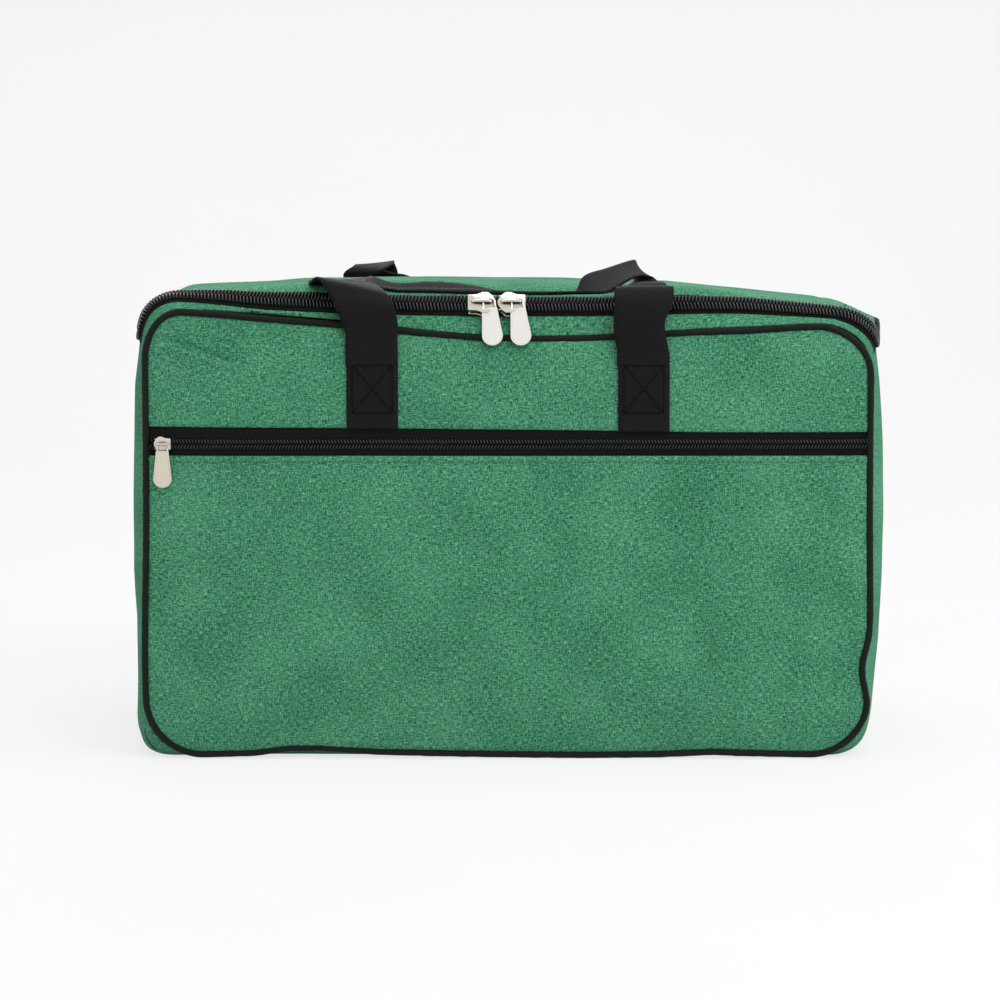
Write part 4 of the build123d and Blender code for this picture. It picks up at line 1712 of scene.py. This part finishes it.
def end_wall(name, edge, y, thickness, seed, nodes):
    """The padded wall behind the front or back panel."""
    flat = whole_panel(edge, 121, 50)
    x, z = flat[..., 0], flat[..., 1]
    inward = -1 if y > 0 else 1
    soft = 1.2 * ripple(x, seed, z, 90.0, 2.7)
    depth = y + inward * soft * smooth(edge_distance(x, z, edge) / 30)
    padded_piece(name, np.stack([x, depth, z], -1), flat, thickness, nodes)


end_wall(
    "front_padded_wall", inner_edge(-139.0, 3.0, 350.0), FRONT_WALL_Y, WALL_THICKNESS, 1.0,
    ["front_lining", "front_foam", "front_upper_foam"],
)
end_wall(
    "back_padded_wall", inner_edge(139.0, 3.0, 362.0), BACK_WALL_Y, 10.0, 5.0,
    ["back_lining", "back_foam"],
)


def pocket_lining():
    """The pocket's own back, behind its panel."""
    flat = patch(inner_edge(-147.0, 5.0, 300.0), POCKET_LEVEL + 6, 121, 60, False)
    x, z = flat[..., 0], flat[..., 1]
    points = np.stack([x, np.full_like(x, POCKET_BACK_Y), z], -1)
    obj = sheet_mesh("pocket_lining_cloth", points, flat, LINING, 0.8)
    cut_cloth(points)
    finish_piece(obj, "bag", ["pocket_back"])


pocket_lining()


def lid_padding():
    """Padding and lining under the lid's cloth."""
    a, d = lid_places(TAPE_HALF + 1.5, HINGE_Y - 2.0)(*share_grid(90, 141))
    points, _ = cloth_point(a, d, -CLOTH_GAP - 1.2)
    obj = sheet_mesh("lid_padding", points, np.stack([a, d], -1), LINING, 5.0)
    lid_fabric(obj, ["lid_foam", "lid_lining"])


lid_padding()


def patches_piece(name, patches, material, thickness, node):
    """One piece from several patches, given as points, UVs and faces."""
    vertices, faces, uv = [], [], []
    for points, places, quads in patches:
        faces += [tuple(len(vertices) + i for i in quad) for quad in quads]
        vertices += list(points.reshape(-1, 3))
        uv += list(places.reshape(-1, 2))
    obj = new_mesh(name, vertices, faces, np.array(uv), material)
    finish_piece(thicken(obj, thickness), "bag", [node])


def seam_binding(name, y0, y1, node):
    """The bound seam allowance that stands inside along a panel's seam."""
    parts = []
    ends = (TOP_MIDDLE - SIDE_TOP - 6, BOTTOM_SEAM - 160)
    for low, high in (ends, (ROUND - ends[1], ROUND - ends[0])):
        s, t = share_grid(200, 5)
        a = low + (high - low) * s
        near, far = depth_of(a, y0), depth_of(a, y1)
        wander = 1.2 * ripple(a, y0, 0.0, 22.0, 3.3)
        d = near + (far - near) * t + wander * t
        points, _ = cloth_point(a, d, -BINDING_GAP - 0.9 * np.sin(t * math.pi))
        parts.append((points, np.stack([a, d], -1), grid_faces(*points.shape[:2])))
    patches_piece(name, parts, TAPE, 0.8, node)


seam_binding("front_bound_seam", -137.5, -127.5, "front_seam_binding")
seam_binding("back_bound_seam", 137.5, 127.5, "back_seam_binding")


def end_tabs():
    """Webbing tabs sewn over the rear ends of the main zip."""
    parts = []
    width, length = 30.0, 15.0
    for sign in (-1, 1):
        s, t = share_grid(12, 17)
        a = TOP_MIDDLE + sign * (LEG_REACH + (s - 0.5) * width)
        d = ZIP_REAR - 2.0 + t * length
        rise = 2.6 - 2.0 * np.abs(2 * s - 1) ** 4 - 0.8 * smooth((t - 0.8) / 0.2)
        points, _ = cloth_point(a, d, rise)
        parts.append((points, np.stack([s * width, t * length], -1), outward_faces(points)))
    patches_piece("zip_end_tabs", parts, WEBBING, 1.4, "main_zip_end_tabs")


end_tabs()


def board_material():
    """Grey-brown pressed board."""
    n = Nodes("board_grey")
    fibre = n.noise(n.space(260.0), 4.0, 0.7)
    n.colour(n.ramp(fibre, [(0.3, (112, 104, 92)), (0.7, (146, 137, 122))]))
    n.bump(fibre, 0.3, 0.0003)
    n.shine(n.span(fibre, 0.8, 0.95))
    return n.material


board = frame["nodes"]["bottom_board"]
board.data.materials.clear()
board.data.materials.append(board_material())


# Stage, light and camera

def stage_floor():
    """A wide pale floor that runs up into the backdrop."""
    profile = [(-3.2, 0.0)] + arc(2.2, 1.2, 1.2, -90, 0, 13) + [(3.4, 5.0)]
    points = [(x / MM, y / MM, z / MM) for y, z in profile for x in (-5.0, 5.0)]
    return new_mesh("floor", points, grid_faces(len(profile), 2))


GLOW_SHARE = 0.74


def seen_share(tree):
    """1 for a ray from the camera, a mirror or glass, and 0 for any other."""
    ray = tree.nodes.new("ShaderNodeLightPath")
    seen = ray.outputs["Is Camera Ray"]
    for kind in ("Is Glossy Ray", "Is Transmission Ray"):
        both = tree.nodes.new("ShaderNodeMath")
        both.operation = "MAXIMUM"
        tree.links.new(seen, both.inputs[0])
        tree.links.new(ray.outputs[kind], both.inputs[1])
        seen = both.outputs[0]
    return seen


def stage_white():
    """Pale, and mostly white to the camera, in mirrors and through glass; it keeps its shadows."""
    n = Nodes("floor_white")
    out = n.tree.nodes["Material Output"]
    glow = n.add("ShaderNodeEmission", Color=(1, 1, 1, 1))
    mix = n.add("ShaderNodeMixShader")
    n.link(n.maths("MULTIPLY", seen_share(n.tree), GLOW_SHARE), mix.inputs[0])
    grain = n.noise(n.space(3.0), 2.0, 0.5)
    n.colour(n.ramp(grain, [(0.3, (226, 226, 226)), (0.7, (230, 230, 230))]))
    n.shader.inputs["Roughness"].default_value = 0.9
    n.link(n.shader.outputs[0], mix.inputs[1])
    n.link(glow.outputs[0], mix.inputs[2])
    n.link(mix.outputs[0], out.inputs["Surface"])
    return n.material


floor = stage_floor()
floor.data.materials.append(stage_white())


LAMP_TARGET = Vector((0, 0, 0.2))


def soft_light(name, place, size, power):
    """A large square lamp aimed at the bag."""
    data = bpy.data.lights.new(name, "AREA")
    data.shape = "RECTANGLE"
    data.size, data.size_y = size
    data.energy = power
    lamp = bpy.data.objects.new(name, data)
    bpy.context.collection.objects.link(lamp)
    lamp.location = place
    lamp.rotation_euler = (LAMP_TARGET - Vector(place)).to_track_quat("-Z", "Y").to_euler()
    return lamp


key = soft_light("key", (0.9, -2.3, 2.5), (2.6, 1.8), 62)
key.visible_glossy = False
soft_light("top", (0.1, 0.2, 2.6), (2.6, 2.0), 28)
soft_light("left_fill", (-2.6, -1.2, 1.2), (1.8, 1.6), 9)
soft_light("right_fill", (2.7, -0.8, 1.3), (1.8, 1.6), 26)
soft_light("rear_fill", (0.0, 2.9, 1.7), (2.4, 1.6), 20)

SKY_LEVEL = 0.32
world = bpy.data.worlds.new("studio")
bpy.context.scene.world = world
world.use_nodes = True
tree = world.node_tree
sky = tree.nodes["Background"]
sky.inputs["Color"].default_value = (1, 1, 1, 1)
level = tree.nodes.new("ShaderNodeMapRange")
level.inputs["To Min"].default_value = SKY_LEVEL
level.inputs["To Max"].default_value = 1.0
tree.links.new(seen_share(tree), level.inputs["Value"])
tree.links.new(level.outputs["Result"], sky.inputs["Strength"])

bpy.context.scene.view_settings.view_transform = "Standard"

CAMERA_PLACE = Vector((-0.0064, -2.692, 0.464))
CAMERA_TARGET = Vector((-0.0064, -0.155, 0.209))
camera_data = bpy.data.cameras.new("camera")
camera_data.lens = 115.0
camera_data.sensor_width = 36.0
camera = bpy.data.objects.new("camera", camera_data)
bpy.context.collection.objects.link(camera)
camera.location = CAMERA_PLACE
camera.rotation_euler = (CAMERA_TARGET - CAMERA_PLACE).to_track_quat("-Z", "Y").to_euler()
bpy.context.scene.camera = camera
